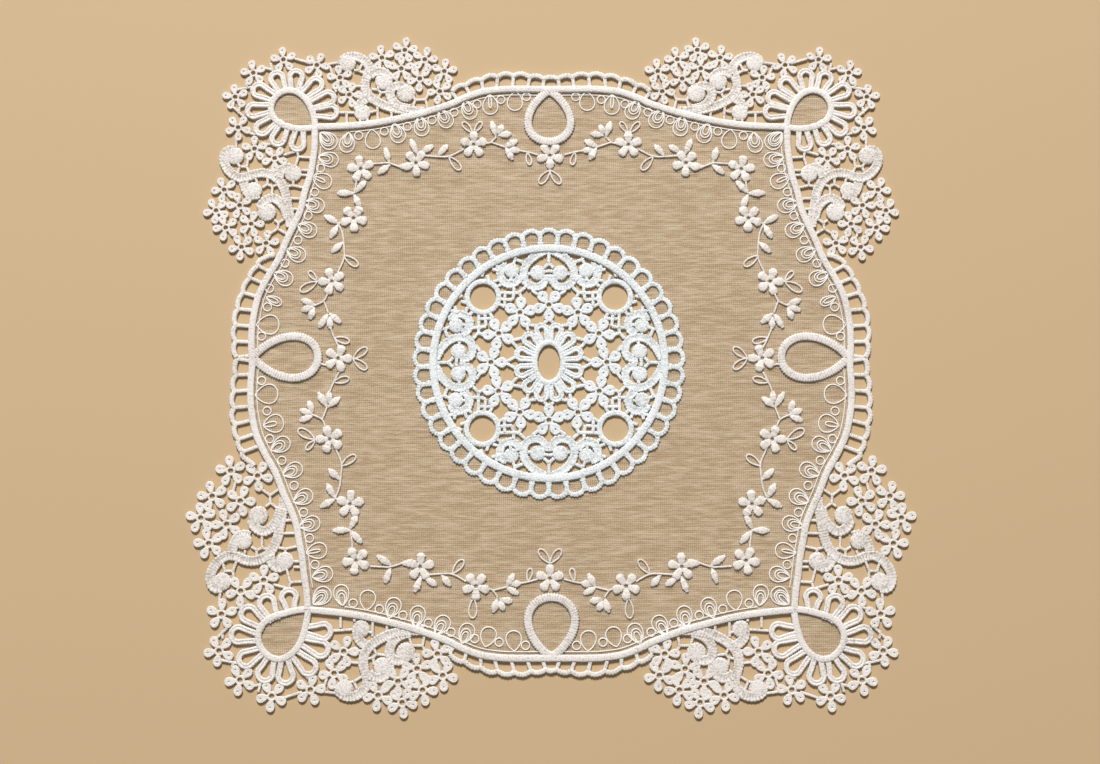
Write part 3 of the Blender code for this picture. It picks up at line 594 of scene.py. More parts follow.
def top_ladder(sx, sy):
    """Rungs and scalloped outer cord of half of the ladder along the top or the bottom."""
    cord_x, cord_y = np.array(cord_line("top", 1, sy)).T
    rim_x, rim_y = np.array(TOP_RIM).T
    rungs = []
    for foot, head in TOP_RUNGS:
        foot_y = float(np.interp(foot, cord_x, cord_y)) + sy * RUNG_START
        rungs.append([(sx * foot, foot_y)] + corner([(head, float(np.interp(head, rim_x, rim_y)))], sx, sy))
    heads = [-TOP_RUNGS[0][1]] + [head for _, head in TOP_RUNGS]
    line = []
    for one, two in zip(heads, heads[1:]):
        for share, bulge in BULGES:
            x = one + (two - one) * share
            line.append((x, float(np.interp(abs(x), rim_x, rim_y)) + bulge * SCALLOP))
    line = [p for p in line if p[0] >= 0] + [(heads[-1], float(np.interp(heads[-1], rim_x, rim_y)))]
    return rungs, corner(line, sx, sy)


def side_ladder(sx, sy):
    """The same down a side."""
    cord_x, cord_y = np.array(CORD_SIDE_LINE).T
    rim_x, rim_y = np.array(SIDE_RIM).T
    pull = NEAR_PULL if sy < 0 else 0.0

    def rim_at(offset, bulge=0.0):
        """The outer cord's point at this distance along from the middle of the side."""
        y = SIDE_MID + sy * offset
        out = pull * ease(offset - 25, 30) + bulge
        return sx * (float(np.interp(abs(y), rim_y, rim_x)) + out), y

    rungs = []
    for foot, head in SIDE_RUNGS:
        foot_y = SIDE_MID + sy * foot
        foot_x = float(np.interp(abs(foot_y), cord_y, cord_x)) + RUNG_START
        rungs.append([(sx * foot_x, foot_y), rim_at(head)])
    heads = [head for _, head in SIDE_RUNGS] + [SIDE_END]
    line = []
    for one, two in zip(heads, heads[1:]):
        line += [rim_at(one + (two - one) * share, bulge * SCALLOP) for share, bulge in BULGES]
    x, y = rim_at(SIDE_END)
    return rungs, line + [(x + sx * dx, y + dy) for dx, dy in (FAR_TURN if sy > 0 else NEAR_TURN)]


rung_lines, rim_lines = [], []
for sx, sy in CORNERS:
    for rungs, line in (top_ladder(sx, sy), side_ladder(sx, sy)):
        rung_lines += rungs
        rim_lines.append(line)
rungs = strand("rungs", rung_lines, half=1.2, height=1.3, base=0.4, pitch=1.2, ripple=0.15)
rims = strand("rims", rim_lines, half=1.65, height=1.7, base=LACE_BASE, pitch=1.5, ripple=0.22)
border_ladder = join("border_ladder", [rungs, rims])

# %% [markdown]
# The medallion is a lace of its own, worked in a fuzzier cotton. It is charted from its own centre,
# v across and u outwards, mirrored in v and turned four times. Its ring cord lies over the organza.

# %% Medallion ring and picots
MEDALLION, RING_MIDDLE = (-1.2, 1.2), 64.7
# how much of its share of the round a picot fills, then its line: share of the pitch, distance outwards
PICOTS, PICOT_FILL = 45, 0.95
PICOT_ARCH = [(-0.47, 66.4), (-0.5, 68.6), (-0.54, 70.6), (-0.47, 72.8), (-0.27, 74.5), (0, 75.1),
              (0.27, 74.5), (0.47, 72.8), (0.54, 70.6), (0.5, 68.6), (0.47, 66.4)]


def around(v, u, turn):
    """A medallion point v, u, turned about its centre, on the chart of the whole doily."""
    a = math.radians(turn)
    return (MEDALLION[0] + v * math.cos(a) - u * math.sin(a),
            MEDALLION[1] + v * math.sin(a) + u * math.cos(a))


ring_cord = strand("ring_cord", [ring_line(*MEDALLION, RING_MIDDLE, 120)], half=2.45, height=1.4,
                   base=OVER_CLOTH, pitch=1.3, ripple=0.12, closed=True, uneven=0.1, depth=0.3)
arches = []
for k in range(PICOTS):
    arch = [around(0, u, (k + share * PICOT_FILL) * 360 / PICOTS) for share, u in PICOT_ARCH]
    arches.append(smooth(arch, 3))
arch_cords = strand("arch_cords", arches, half=1.75, height=1.2, base=OVER_CLOTH, pitch=1.5, ripple=0.28,
                    uneven=0.25, depth=0.6)
medallion_ring = join("medallion_ring", [ring_cord, arch_cords])

# %% [markdown]
# Two sizes of scroll fill the round, and a round eyelet stands between two quarters. They are swept
# bands and stamped buttons like the border's, with more uneven stitches, because this cotton is fuzzy.
# The chart holds half a quarter; bars tie the bands to each other and to the ring.

# %% Medallion scrolls and eyelets
EYELET_AT, EYELET_R = 52.3, 8.85
QUARTERS = (0, 90, 180, 270)
# v, u of each band, then buttons as v, u, radius, then bars as v, u to v, u
MED_SCROLLS = [[(1.6, 63.4), (7, 60.7), (11.2, 57.2), (13.8, 52.8), (14, 48), (12, 44.2), (8, 42.7),
                (4.3, 43.4), (2.2, 46.4), (2.4, 49.6)],
               [(16, 49.2), (17.5, 46.2), (21.2, 44.2), (25.4, 45.6), (27.3, 49.8), (26, 53.6),
                (23.4, 54.6)]]
MED_BUTTONS = [(6.3, 50.7, 4.4), (20.9, 52.0, 4.3)]
MED_BARS = [(0, 62.6, 0, 56.2), (0, 56.2, 2.8, 53.4), (0, 51.8, 2.4, 51.4), (8.8, 50.2, 11.8, 50),
            (21.2, 48.4, 21.4, 46), (19.4, 61.8, 18.8, 58.4), (18.8, 58.4, 14.4, 56.6),
            (18.8, 58.4, 20.2, 55.2), (31.8, 52.8, 27.4, 51.6), (29.4, 56, 29, 52),
            (34.6, 49.4, 33.4, 45.2), (36.8, 51.6, 37.8, 48.4), (13.4, 42.4, 16.8, 39.4),
            (19.6, 42.8, 19.6, 39.2), (19.6, 39.2, 16.8, 39.4), (19.6, 39.2, 27.8, 39.4),
            (19.6, 39.2, 20.4, 35.2), (16.8, 39.4, 15.2, 36.4), (9.4, 40.6, 6.2, 38.4),
            (26.4, 44.4, 28.6, 43), (24.4, 31.2, 28.6, 33.4), (20.4, 35.2, 27, 35.8),
            (24.8, 31.4, 24.6, 39.4), (28.6, 46.6, 31.2, 45.6)]
med_scroll_lines, med_bar_lines, med_button_spots = [], [], []
for turn in QUARTERS:
    for side in (1, -1):
        med_scroll_lines += [[around(side * v, u, turn) for v, u in smooth(line, 6)] for line in MED_SCROLLS]
        med_bar_lines += [[around(side * a, b, turn), around(side * c, d, turn)] for a, b, c, d in MED_BARS]
        med_button_spots += [(*around(side * v, u, turn), 0, r / BUTTON_R) for v, u, r in MED_BUTTONS]
eyelet_lines = [ring_line(*around(0, EYELET_AT, turn + 45), EYELET_R) for turn in QUARTERS]
med_bands = strand("med_bands", med_scroll_lines, half=2.9, height=1.6, base=LACE_BASE, pitch=1.6, ripple=0.2,
                   section=RIMMED, uneven=0.15, depth=0.5)
med_eyelets = strand("med_eyelets", eyelet_lines, half=1.8, height=1.6, base=LACE_BASE, pitch=1.4,
                     ripple=0.16, closed=True, uneven=0.12)
med_buttons = stamp("med_buttons", button(), med_button_spots)
medallion_scrolls = join("medallion_scrolls", [med_bands, med_eyelets, med_buttons])

# %% [markdown]
# A ring of twelve flowers stands round the middle. The flower is made like the border's, with longer
# and wider petals, so only its places on the ring are worked out. Two bars run in from each flower.

# %% Medallion flowers and bars
FLOWER_RING, INNER_TIP = 32.4, 24.6
# the oval that the bars run in to, and how far to each side they lean, in degrees
BAR_FEET, BAR_LEAN = (19.0, 22.4), 8


def on_oval(across, away, heading):
    """A point of an oval about the medallion's centre."""
    a = math.radians(heading)
    return MEDALLION[0] + across * math.cos(a), MEDALLION[1] + away * math.sin(a)


med_flower_spots = [(*around(0, FLOWER_RING, 30 * k), 270 + 30 * k, 1.0) for k in range(12)]
for k in range(12):
    for lean in (-BAR_LEAN, BAR_LEAN):
        med_bar_lines.append([around(0, INNER_TIP, 30 * k), on_oval(*BAR_FEET, 90 + 30 * k + lean)])
med_flowers = stamp("med_flowers", petal_flower(reach=9.3, half=3.1), med_flower_spots)
med_bars = strand("med_bars", med_bar_lines, half=1.15, height=1.2, base=BAR_BASE, pitch=1.2, ripple=0.22,
                  uneven=0.15)
medallion_flowers = join("medallion_flowers", [med_flowers, med_bars])

# %% [markdown]
# In the very middle an oval ring of satin stitch is ringed by twelve double loops. The loops sit on
# an oval too, so their feet and tips are worked out from the angle.

# %% Medallion middle
# half width across and away from us of the ovals on which the ring, the feet and the tips lie
OVAL, LOOP_FOOT, LOOP_TIP = (7.8, 11.3), (8.4, 11.4), (20.4, 23.4)
oval_line = ring_line(*MEDALLION, OVAL[0], count=48, squeeze=OVAL[1] / OVAL[0])
middle_ring = strand("middle_ring", [oval_line], half=1.75, height=1.8, base=LACE_BASE, pitch=1.3,
                     ripple=0.16, closed=True, uneven=0.1)
middle_loops = []
for heading in range(15, 375, 30):
    foot, tip = on_oval(*LOOP_FOOT, heading), on_oval(*LOOP_TIP, heading)
    middle_loops.append(long_loop(*foot, *tip, lane=1.9, wide=9.6, foot_wide=1.3))
loop_bands = strand("loop_bands", middle_loops, half=1.9, height=1.7, base=LACE_BASE, pitch=1.4, ripple=0.18,
                    section=TWIN, uneven=0.1)
medallion_middle = join("medallion_middle", [middle_ring, loop_bands])

# %% [markdown]
# The organza is one sheer sheet. Its edge is tucked under the cord and it fills the corner loops, and
# a round opening is cut in it under the medallion. A flat 2D curve with a second closed line inside it
# makes exactly that, and a very small extrude gives the cloth its thickness.

# %% Organza sheet
ORGANZA_BASE, ORGANZA_THICK = 0.7, 0.12
OPENING_R = 64.6


def quarter_edge(first, sx, sy):
    """A quarter of the cut edge, from the middle of one side round the corner loop to the next."""
    second = "side" if first == "top" else "top"
    loop = corner(teardrop(*CORNER_LOOP)[1:], sx, sy)
    if first == "side":
        loop = loop[::-1]
    return smooth(cord_line(first, sx, sy))[:-1] + loop + smooth(cord_line(second, sx, sy))[::-1][1:-1]


edge = quarter_edge("top", 1, 1) + quarter_edge("side", 1, -1) + quarter_edge("top", -1, -1)
edge += quarter_edge("side", -1, 1)
organza = blank_path("organza_cloth")
organza.data.dimensions = "2D"
organza.data.fill_mode = "BOTH"
organza.data.extrude = ORGANZA_THICK / 2 * MM
for line in (edge, ring_line(*MEDALLION, OPENING_R, 96)):
    spline = organza.data.splines.new("POLY")
    spline.points.add(len(line) - 1)
    spline.use_cyclic_u = True
    for point, (x, y) in zip(spline.points, line):
        point.co = (*place(x, y), 1)
take(organza)
bpy.ops.object.convert(target="MESH")
close_up(organza)
organza.data.transform(Matrix.Translation((0, 0, ORGANZA_BASE * MM)))
bpy.ops.object.shade_flat()

# %% [markdown]
# A vine of padded embroidery runs round the organza: flowers, leaves and thin stems. Each leaf and
# petal is a short satin strand that swells in its middle, so `strand` is given a width along it. A few
# leaves are only outlined with one thread; they are teardrops.

# %% Embroidered vine
VINE_TOP = {"flowers": [(107.6, 111.2, 80), (76.4, 114.6, 50), (43.8, 125.2, 90)],
            "stems": [[(101, 114.2), (95, 114.6), (91.5, 114.6), (85.5, 112.4)],
                      [(73, 119), (65, 118.4), (57.5, 118.6), (49.5, 122.6)],
                      [(37, 126), (34, 126.6), (31, 129.8)], [(34, 126.6), (26, 123.8)],
                      [(18.5, 121.8), (13.5, 121), (7.5, 119.4)]],
            "leaves": [(91.5, 115, 94, 123.6), (91, 113.8, 98, 108.4), (75.8, 119.8, 79.6, 128.6),
                       (86.6, 112.6, 79.5, 112.6), (73.6, 120.6, 66.6, 124.8), (64, 119, 58.5, 125.2),
                       (31.2, 130, 33.8, 138.8), (30, 130.6, 22.4, 131.6), (30, 131.4, 27.4, 136.8),
                       (26.4, 123.8, 18.8, 127.8), (25.8, 123.6, 21.6, 116.4), (24, 122.6, 17.6, 121.6)],
            "open": [(57.6, 118.2, 51.6, 111.2), (13.5, 120.6, 12, 114)]}
VINE_SIDE = {"flowers": [(111.3, 82.9, 50), (123, 46.9, 0)],
             "stems": [[(109.6, 107.4), (110.4, 101), (111.2, 97)],
                       [(116.4, 80.6), (119.4, 79.6), (117.4, 74), (116.4, 66), (116.4, 60), (119.8, 52)],
                       [(125.6, 39.7), (127.4, 36), (131.4, 33.8), (133.2, 33.4)], [(127.4, 36), (124.8, 29)],
                       [(123.6, 21), (121.5, 15.6), (118.4, 9.4)], [(128.6, 47), (131.6, 47)]],
             "leaves": [(111, 97.2, 121, 97.4), (110.6, 97.6, 104.6, 104.4), (111.2, 96.6, 107.4, 88.6),
                        (119.6, 80, 128, 84.6), (119.8, 79.6, 124.4, 71.4), (117, 69.4, 123.6, 63.4),
                        (132.4, 33.6, 140.2, 36.8), (132.6, 33, 140, 30.4), (132.6, 32.2, 135.2, 25.4),
                        (124.8, 29, 130, 20.6), (124.4, 29, 117.6, 23.4), (124, 27, 123.6, 20)],
             "open": [(131.4, 47.6, 135.8, 52.4), (131.4, 46.8, 140.2, 41.8), (116.4, 61.6, 109, 56.2),
                      (121.2, 15, 113.2, 13)]}
TIP_LEAVES = {1: [(44.8, 132.4, 49.8, 137.8), (43.4, 132.4, 39.6, 138)], -1: [(45.2, 131.8, 45.8, 142)]}
# x, y, turn in degrees
MIDDLE_FLOWERS = [(-0.6, 118.9, 270), (-0.6, -118.6, 90), (-119.0, 3.4, 0), (118.0, 3.6, 180)]
# the two thread leaves beyond such a flower: distance from its heart, lean, length and half width
BUD_AT, BUD_LEAN, BUD = 8.4, 38, (9.6, 1.9)
SIDES_MID = 2.6
PETAL_FROM, PETAL_TO = 0.9, 7.9
# a thread leaf's length and half width, as shares of its length on the chart
THREAD_LEAF = (1.05, 0.21)
STITCHED = {"base": OVER_CLOTH, "ripple": 0.12}


def vine_top(points, sx, sy):
    """Points of the vine along the top, set along the top, or along the bottom, where it is narrower."""
    if sy > 0:
        return [(sx * x, y) for x, y in points]
    return [(sx * x * (1 - 0.055 * ease(107 - x, 27)), -(y - 2.4 + 1.8 * ease(38 - x, 8))) for x, y in points]


def vine_side(points, sx, sy):
    """The same for the vine down the sides, which mirrors about the sides' own middle."""
    return [(sx * x, y if sy > 0 else 2 * SIDES_MID - y) for x, y in points]


def leaf_width(t):
    """Pointed at the stem, widest past the middle, blunt at the tip."""
    return max(0.16, math.sin(math.pi * min(0.93, t) ** 1.2)) ** 0.6


def petal_width(t):
    """Narrow at the heart and round at the tip."""
    return min(1.0, 0.48 + 0.9 * t) * math.sqrt(max(0.14, 1 - max(0.0, (t - 0.7) / 0.3) ** 2))


def open_leaf(foot, tip):
    """The outline of a leaf that is worked as one thread only."""
    length = math.dist(foot, tip)
    heading = math.degrees(math.atan2(tip[1] - foot[1], tip[0] - foot[0]))
    return teardrop(*foot, heading, *[share * length for share in THREAD_LEAF])


stems, leaves, petals, open_leaves = [], [], [], []
for sx, sy in CORNERS:
    for chart, setter in ((VINE_TOP, vine_top), (VINE_SIDE, vine_side)):
        stems += [smooth(setter(line, sx, sy)) for line in chart["stems"]]
        leaves += [setter([(a, b), (c, d)], sx, sy) for a, b, c, d in chart["leaves"]]
        open_leaves += [open_leaf(*setter([(a, b), (c, d)], sx, sy)) for a, b, c, d in chart["open"]]
        for x, y, turn in chart["flowers"]:
            petals.append((*setter([(x, y)], sx, sy)[0], facing(turn, sx, sy)))
    open_leaves += [open_leaf(*vine_top([(a, b), (c, d)], sx, sy)) for a, b, c, d in TIP_LEAVES[sy]]
petals += MIDDLE_FLOWERS
for x, y, turn in MIDDLE_FLOWERS:
    a = math.radians(turn)
    if abs(x) > 100:  # the two side flowers have a short stem
        stems.append([(x - 11 * math.cos(a), y - 2.6), (x - 6.4 * math.cos(a), y - 3.8)])
    for side in (-1, 1):
        foot = (x + BUD_AT * math.cos(a), y + BUD_AT * math.sin(a))
        open_leaves.append(teardrop(*foot, turn + BUD_LEAN * side, *BUD))
petal_lines = []
for x, y, turn in petals:
    for k in range(5):
        a = math.radians(turn + 72 * k)
        petal_lines.append([(x + r * math.cos(a), y + r * math.sin(a)) for r in (PETAL_FROM, PETAL_TO)])
vine_petals = strand("vine_petals", petal_lines, half=3.0, height=1.3, pitch=1.3, swell=petal_width,
                     uneven=0.24, **STITCHED)
vine_leaves = strand("vine_leaves", leaves, half=2.4, height=1.3, pitch=1.3, swell=leaf_width,
                     uneven=0.26, **STITCHED)
vine_stems = strand("vine_stems", stems, half=0.55, height=0.8, pitch=0.8, **STITCHED)
vine_open = strand("vine_open", open_leaves, half=0.5, height=0.7, base=OVER_CLOTH, pitch=0.8,
                   ripple=0.1, closed=True)
vine = join("organza_vine", [vine_petals, vine_leaves, vine_stems, vine_open])

# %% [markdown]
# Beside the cord single threads are looped on the organza, large and small by turns. A large one is a
# teardrop, often with more inside it, a small one is a ring, and a long thread beside the cord links
# them. Each hangs from the cord, so its heading is found from the nearest point of the cord's line.

# %% Thread loops
# x, y, kind; LOOP_SIZES has the length and half width of each turn of thread
TOP_LOOPS = [(126.2, 127.6, "corner"), (115.5, 126, "double"), (109, 130.5, "small"), (101, 128, "single"),
             (94.5, 133, "small"), (87, 131.5, "double"), (81.5, 135.8, "small"), (73.5, 135.5, "double"),
             (67.5, 139.5, "small"), (60, 140, "double"), (55, 144, "small"), (46.5, 145, "double"),
             (42, 148.7, "small"), (34.5, 148, "fork"), (28.5, 151.3, "small"), (20.5, 150, "single"),
             (14, 153, "small")]
SIDE_THREAD_LOOPS = [(125.5, 116.8, "double"), (130.3, 111.7, "small"), (129, 104.5, "fork"),
                     (133.5, 98, "small"), (133, 90.5, "double"), (137, 84.5, "small"),
                     (137, 76.5, "double"), (142.5, 70.5, "small"), (143, 62.5, "double"),
                     (149.5, 57.3, "small"), (150, 49, "double")]
FAR_LOOPS = [(158, 43, "small"), (155, 36, "slim"), (159, 32.5, "small"), (158, 22.5, "broad"),
             (162, 16, "small")]
NEAR_LOOPS = [(156.5, -41.5, "small"), (154, -33, "leafed"), (158.2, -26, "small"), (158, -16.5, "broad"),
              (161.5, -9, "small")]
LOOP_SIZES = {"double": ((11.5, 4.2), (8.4, 2.7), (6.8, 1.6)),
              "single": ((11.0, 4.3),), "broad": ((12.6, 5.4),),
              "slim": ((9.4, 2.4), (7.4, 1.2)), "leafed": ((11.4, 5.0), (7.6, 1.3)),
              "fork": ((11.5, 4.3), (8.0, 0.9)),
              "corner": ((11.8, 4.6), (9.6, 3.3), (8.6, 2.4), (7.0, 1.2))}
SMALL_RING, LINK_OFFSET, LOW_SHIFT = 2.3, 3.5, 7.0
SINGLE = {"height": 0.5, "base": 0.9, "pitch": 1.6, "ripple": 0.0, "section": THREAD}
cord_points = np.array([p for line in cord_lines for p in line])


def thread_loop(x, y, kind):
    """The closed lines of one looped thread at x, y."""
    near = cord_points[np.argmin(np.hypot(*(cord_points - (x, y)).T))]
    if kind == "corner":
        near = (math.copysign(CORNER_X, x), math.copysign(CORNER_Y, y))
    heading = math.atan2(y - near[1], x - near[0])
    if kind == "small":
        return [ring_line(x, y, SMALL_RING, 16)]
    lines = []
    for long, half in LOOP_SIZES[kind]:
        start = LOOP_SIZES[kind][0][0] * 0.55
        tip = (x - start * math.cos(heading), y - start * math.sin(heading))
        lines.append(teardrop(*tip, math.degrees(heading), long, half, blunt=0.6, count=28))
    return lines


thread_lines = []
for sx, sy in CORNERS:
    for x, y, kind in TOP_LOOPS:
        # near the middle of the bottom the loops follow the belly only in part
        share = 0.45 + 0.55 * ease(x - 35, 20)
        ty = y + (share * near_belly(x) if sy < 0 else 0)
        thread_lines += thread_loop(sx * x, sy * ty, "single" if sy < 0 and kind == "fork" else kind)
    for x, y, kind in SIDE_THREAD_LOOPS:
        ty = y if sy > 0 else -(y - LOW_SHIFT * max(0.0, 1 - y / 125))
        thread_lines += thread_loop(sx * x, ty, kind)
for sx in (1, -1):
    for x, y, kind in FAR_LOOPS + NEAR_LOOPS:
        thread_lines += thread_loop(sx * x, y, kind)
loops = strand("loops", thread_lines, half=0.42, closed=True, **SINGLE)
linking_lines = []
for line in cord_lines:
    p = np.array(line)[4:-4]
    ahead = np.gradient(p, axis=0)
    out = np.stack([ahead[:, 1], -ahead[:, 0]], axis=1) / np.hypot(*ahead.T)[:, None]
    inward = np.sign((out * -p).sum(axis=1))[:, None]
    linking_lines.append((p + out * inward * LINK_OFFSET).tolist())
links = strand("links", linking_lines, half=0.336, **SINGLE)
thread_loops = join("organza_thread_loops", [loops, links])

# %% [markdown]
# Materials come next. The border is mercerised cotton and rayon satin stitch in a warm white, the
# medallion is an unmercerised cotton with a cooler white and more fuzz, and the organza is a sheer
# plain weave. All colours are written as sRGB hex values, and one function turns them to linear.
# One more small function adds a node with its settings and links.

# %% Material helpers


def linear(hex_colour):
    """An sRGB hex value as linear RGBA."""
    parts = [int(hex_colour[k:k + 2], 16) / 255 for k in (1, 3, 5)]
    return (*[c / 12.92 if c <= 0.04045 else ((c + 0.055) / 1.055) ** 2.4 for c in parts], 1.0)


def add_node(tree, kind, links=(), **settings):
    """A node with its settings; links are (input, node, output)."""
    node = tree.nodes.new(kind)
    for key, value in settings.items():
        if key[0].isupper():
            node.inputs[key.replace("_", " ")].default_value = value
        else:
            setattr(node, key, value)
    for name, source, output in links:
        tree.links.new(source.outputs[output], node.inputs[name])
    return node


def new_material(name):
    """A new Principled material, its tree, its shader and a node that gives object coordinates."""
    mat = bpy.data.materials.new(name)
    mat.use_nodes = True
    tree = mat.node_tree
    shader = tree.nodes["Principled BSDF"]
    coords = tree.nodes.new("ShaderNodeTexCoord")
    return mat, tree, shader, coords


print("warm white, linear:", [round(c, 3) for c in linear("#F2E9DF")])

# %% [markdown]
# Stitched thread shows two things: a slow drift of colour along the work, and a fine bump from the
# twist of the thread. The twist is about a third of a millimetre in fact, too fine for the picture, so
# it is drawn at about one millimetre. The dips between two stitches lie in shade, and that shade is
# painted into the colour: the value that `strand` and `button` leave on each vertex darkens them. The
# sheen of rayon comes from a lower roughness; raw cotton is rougher and fuzzier. All come from the same
# short recipe.

# %% Stitched thread materials
# CREASE_SHADE is how far the painted shade in the dips between stitches darkens the tone
DRIFT, DRIFT_SHARE, CREASE_SHADE = 14, 0.4, 0.35
SHADE_AT, LIGHT_AT, ROUGH_SPREAD = 0.36, 0.7, 0.08


def stitched(name, light, shade, rough, thread_mm, bump_mm, sheen):
    """Thread with drifting colour, shade painted into its creases and a bump at the scale of its twist."""
    mat, tree, shader, coords = new_material(name)
    drift, twist = [add_node(tree, "ShaderNodeTexNoise", [("Vector", coords, "Object")], Scale=1 / (mm * MM),
                             Detail=detail) for mm, detail in ((DRIFT, 3.0), (thread_mm, 2.0))]
    painted_shade = add_node(tree, "ShaderNodeAttribute", attribute_name="painted_shade")
    blend = add_node(tree, "ShaderNodeMath", [(0, drift, "Fac"), (2, twist, "Fac")], operation="MULTIPLY_ADD")
    blend.inputs[1].default_value = DRIFT_SHARE
    # the painted shade: the dips between two stitches are darkened in the colour
    stitches = add_node(tree, "ShaderNodeMath", [(0, painted_shade, "Fac"), (2, blend, "Value")],
                        operation="MULTIPLY_ADD")
    stitches.inputs[1].default_value = -CREASE_SHADE
    ramp = add_node(tree, "ShaderNodeValToRGB", [("Fac", stitches, "Value")])
    ramp.color_ramp.elements[0].position, ramp.color_ramp.elements[0].color = SHADE_AT, linear(shade)
    ramp.color_ramp.elements[1].position, ramp.color_ramp.elements[1].color = LIGHT_AT, linear(light)
    wear = add_node(tree, "ShaderNodeMapRange", [("Value", twist, "Fac")], To_Min=rough - ROUGH_SPREAD,
                    To_Max=rough + ROUGH_SPREAD)
    bump = add_node(tree, "ShaderNodeBump", [("Height", twist, "Fac")], Distance=bump_mm * MM, Strength=0.9)
    tree.links.new(ramp.outputs["Color"], shader.inputs["Base Color"])
    tree.links.new(wear.outputs["Result"], shader.inputs["Roughness"])
    tree.links.new(bump.outputs["Normal"], shader.inputs["Normal"])
    shader.inputs["Sheen Weight"].default_value = sheen
    return mat


satin = stitched("rayon_satin_stitch", "#F4EDE6", "#BFB3A6", rough=0.5, thread_mm=1.0,
                 bump_mm=0.3, sheen=0.1)
cotton = stitched("mercerised_cotton_stitch", "#F3ECE4", "#BBAE9F", rough=0.7, thread_mm=0.9,
                  bump_mm=0.3, sheen=0.1)
fuzzy = stitched("raw_cotton_stitch", "#F4F7F6", "#B9BFBE", rough=0.85, thread_mm=1.0,
                 bump_mm=0.5, sheen=0.2)
padded = stitched("padded_embroidery_rayon", "#F3EAE1", "#C6BAAE", rough=0.5, thread_mm=1.0,
                  bump_mm=0.25, sheen=0.1)
thread = stitched("single_cotton_thread", "#FFFBF5", "#F0E6DA", rough=0.65, thread_mm=0.8,
                  bump_mm=0.1, sheen=0.1)
print("thread materials:", [m.name for m in (satin, cotton, fuzzy, padded, thread)])

# %% [markdown]
# Organza is a plain weave of very fine silk with open gaps. The real threads are about 0.25 mm apart,
# too fine for the picture, so the weave is drawn at 1.1 mm across and 1.2 mm along, and shows as the
# faint net that the eye sees. Two wave patterns cross, and their crests are more solid than the gaps,
# through the alpha. A noise drawn out along the rows gives the slubs of the silk.

# %% Organza material
WARP, WEFT = 1.1, 1.2
SLUB, SLUB_LONG = 1.4, 8.75
GAP_TONE, THREAD_TONE = "#C4A984", "#F2DFC2"
GAP_AT, THREAD_AT, WEAVE_SHARE = 0.39, 0.94, 0.5


def wave_scale(pitch):
    """The scale that gives a wave texture one band in so many millimetres."""
    return 2 * math.pi / (20 * pitch * MM)


def organza_material():
    """Sheer cloth: the crossing of warp and weft sets how solid and how light each spot is."""
    mat, tree, shader, coords = new_material("silk_organza")
    warp, weft = [add_node(tree, "ShaderNodeTexWave", [("Vector", coords, "Object")], bands_direction=axis,
                           Scale=wave_scale(pitch), Distortion=3.0, Detail_Scale=2.0)
                  for axis, pitch in (("X", WARP), ("Y", WEFT))]
    grid = add_node(tree, "ShaderNodeMath", [(0, warp, "Fac"), (1, weft, "Fac")], operation="MULTIPLY")
    drawn = add_node(tree, "ShaderNodeMapping", [("Vector", coords, "Object")],
                     Scale=(SLUB / SLUB_LONG, 1.0, 1.0))
    slub = add_node(tree, "ShaderNodeTexNoise", [("Vector", drawn, "Vector")], Scale=1 / (SLUB * MM),
                    Detail=2.0)
    mixed = add_node(tree, "ShaderNodeMath", [(0, grid, "Value"), (2, slub, "Fac")], operation="MULTIPLY_ADD")
    mixed.inputs[1].default_value = WEAVE_SHARE
    cover = add_node(tree, "ShaderNodeMapRange", [("Value", mixed, "Value")], From_Min=0.34, From_Max=1.04,
                     To_Min=0.32, To_Max=0.62)
    tone = add_node(tree, "ShaderNodeValToRGB", [("Fac", mixed, "Value")])
    tone.color_ramp.elements[0].position, tone.color_ramp.elements[0].color = GAP_AT, linear(GAP_TONE)
    tone.color_ramp.elements[1].position, tone.color_ramp.elements[1].color = THREAD_AT, linear(THREAD_TONE)
    bump = add_node(tree, "ShaderNodeBump", [("Height", grid, "Value")], Distance=0.05 * MM)
    tree.links.new(tone.outputs["Color"], shader.inputs["Base Color"])
    tree.links.new(cover.outputs["Result"], shader.inputs["Alpha"])
    tree.links.new(bump.outputs["Normal"], shader.inputs["Normal"])
    shader.inputs["Roughness"].default_value = 0.6
    shader.inputs["Sheen Weight"].default_value = 0.2
    return mat


silk = organza_material()
DRESS = {organza: silk, vine: padded, thread_loops: thread, border_cord: satin, side_loops: satin,
         rosettes: satin, border_scrolls: satin, border_flowers: cotton, border_bars: cotton,
         border_ladder: cotton, medallion_ring: fuzzy, medallion_scrolls: fuzzy, medallion_flowers: fuzzy,
         medallion_middle: fuzzy}
for piece, mat in DRESS.items():
    piece.data.materials.clear()
    piece.data.materials.append(mat)
print(len(DRESS), "pieces dressed")

# %% [markdown]
# Every piece rides on the one body and replaces the solid whose place it takes. The organza is the
# sheet; the lace and the embroidery are on it.

# %% Ride and replace
GROUND_PIECES = [organza, vine, thread_loops]
BORDER_PIECES = [border_cord, side_loops, rosettes, border_scrolls, border_flowers, border_bars,
                 border_ladder]
MEDALLION_PIECES = [medallion_ring, medallion_scrolls, medallion_flowers, medallion_middle]
for group, node, slot in ((GROUND_PIECES, "organza_ground", "organza"),
                          (BORDER_PIECES, "lace_border", "border_lace"),
                          (MEDALLION_PIECES, "centre_medallion", "medallion_lace")):
    for piece in group:
        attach(piece, "root")
        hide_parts(node)
print("pieces:", sum(len(p.data.polygons) for p in DRESS), "faces in all")

# %% [markdown]
# The doily lies on a plain pale table. The key light is a wide soft disc on the far side, high up, so
# each thread drops a short soft shadow towards us; a weak fill and a dim studio world keep the shadows
# open.

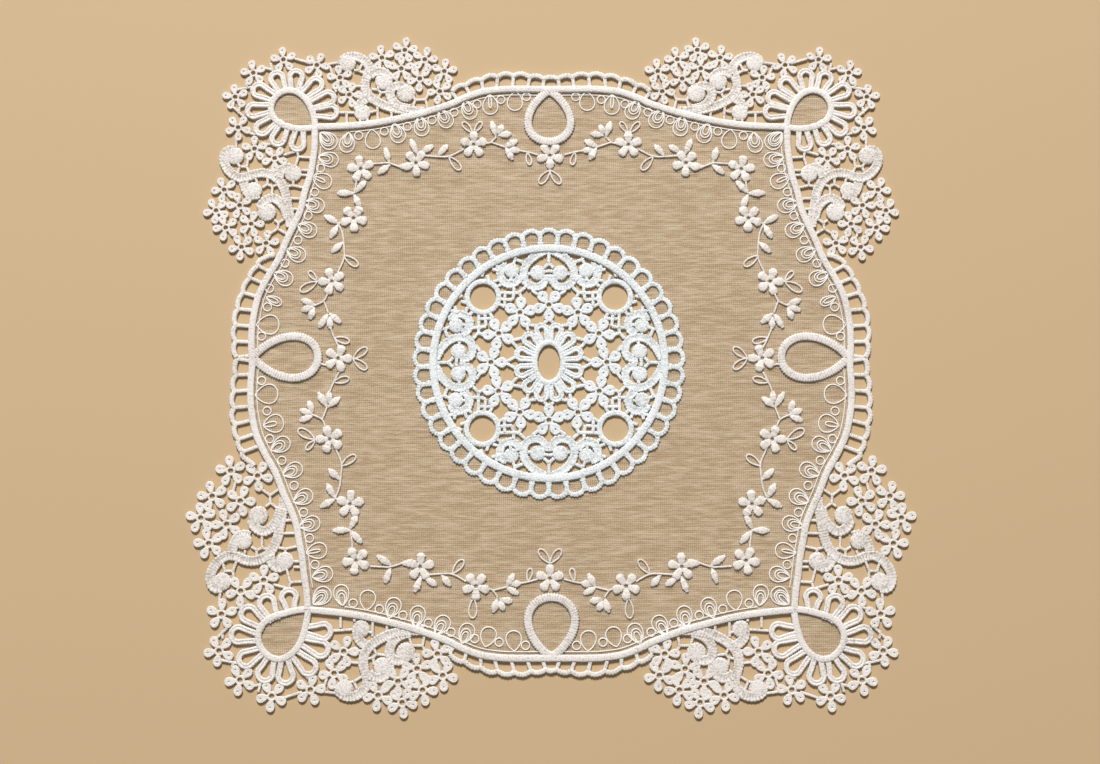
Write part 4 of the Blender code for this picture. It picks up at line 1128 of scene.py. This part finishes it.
# %% Table and light
# the table lies a tenth of a millimetre lower, so that it never shares a plane with the doily
TABLE_TONE, TABLE_DROP = "#CDB088", 0.0001
WORLD_LIGHT, WORLD_STRENGTH = (1.0, 0.985, 0.96, 1), 0.11

bpy.ops.object.select_all(action="DESELECT")
bpy.ops.mesh.primitive_plane_add(size=6.0, location=(0, 0, -TABLE_DROP))
table = bpy.context.object
table.name = "table"
table_paint, _, shader, _ = new_material("pale_table_paint")
shader.inputs["Base Color"].default_value = linear(TABLE_TONE)
shader.inputs["Roughness"].default_value = 0.7
table.data.materials.append(table_paint)


def area_light(name, size, watts, place_at):
    """A soft round light that points at the middle of the doily."""
    bpy.ops.object.light_add(type="AREA", location=place_at)
    lamp = bpy.context.object
    lamp.name = name
    lamp.data.shape = "DISK"
    lamp.data.size = size
    lamp.data.energy = watts
    lamp.rotation_euler = (-Vector(place_at)).to_track_quat("-Z", "Y").to_euler()


area_light("key", size=1.2, watts=400, place_at=(-0.5, 4.2, 3.8))
area_light("fill", size=1.6, watts=2.5, place_at=(-0.3, -0.6, 1.6))
bpy.context.scene.view_settings.view_transform = "Standard"
world = bpy.data.worlds.new("studio")
bpy.context.scene.world = world
world.use_nodes = True
background = world.node_tree.nodes["Background"]
background.inputs["Color"].default_value = WORLD_LIGHT
background.inputs["Strength"].default_value = WORLD_STRENGTH
print("lights:", [light.name for light in bpy.data.lights])

# %% [markdown]
# The camera stands a few degrees off the upright through the point it looks at, so one angle and one
# distance place it.

# %% Camera
TILT, DISTANCE, LOOK_AT = 5.4, 0.8537, Vector(place(-0.6, -9.6))
camera_data = bpy.data.cameras.new("camera")
camera_data.lens, camera_data.sensor_width = 50.0, 36.0
camera = bpy.data.objects.new("camera", camera_data)
bpy.context.scene.collection.objects.link(camera)
tilt = math.radians(TILT)
camera.location = LOOK_AT + DISTANCE * Vector((0, -math.sin(tilt), math.cos(tilt)))
camera.rotation_euler = (tilt, 0, 0)
bpy.context.scene.camera = camera
print("camera at", tuple(round(c, 4) for c in camera.location))
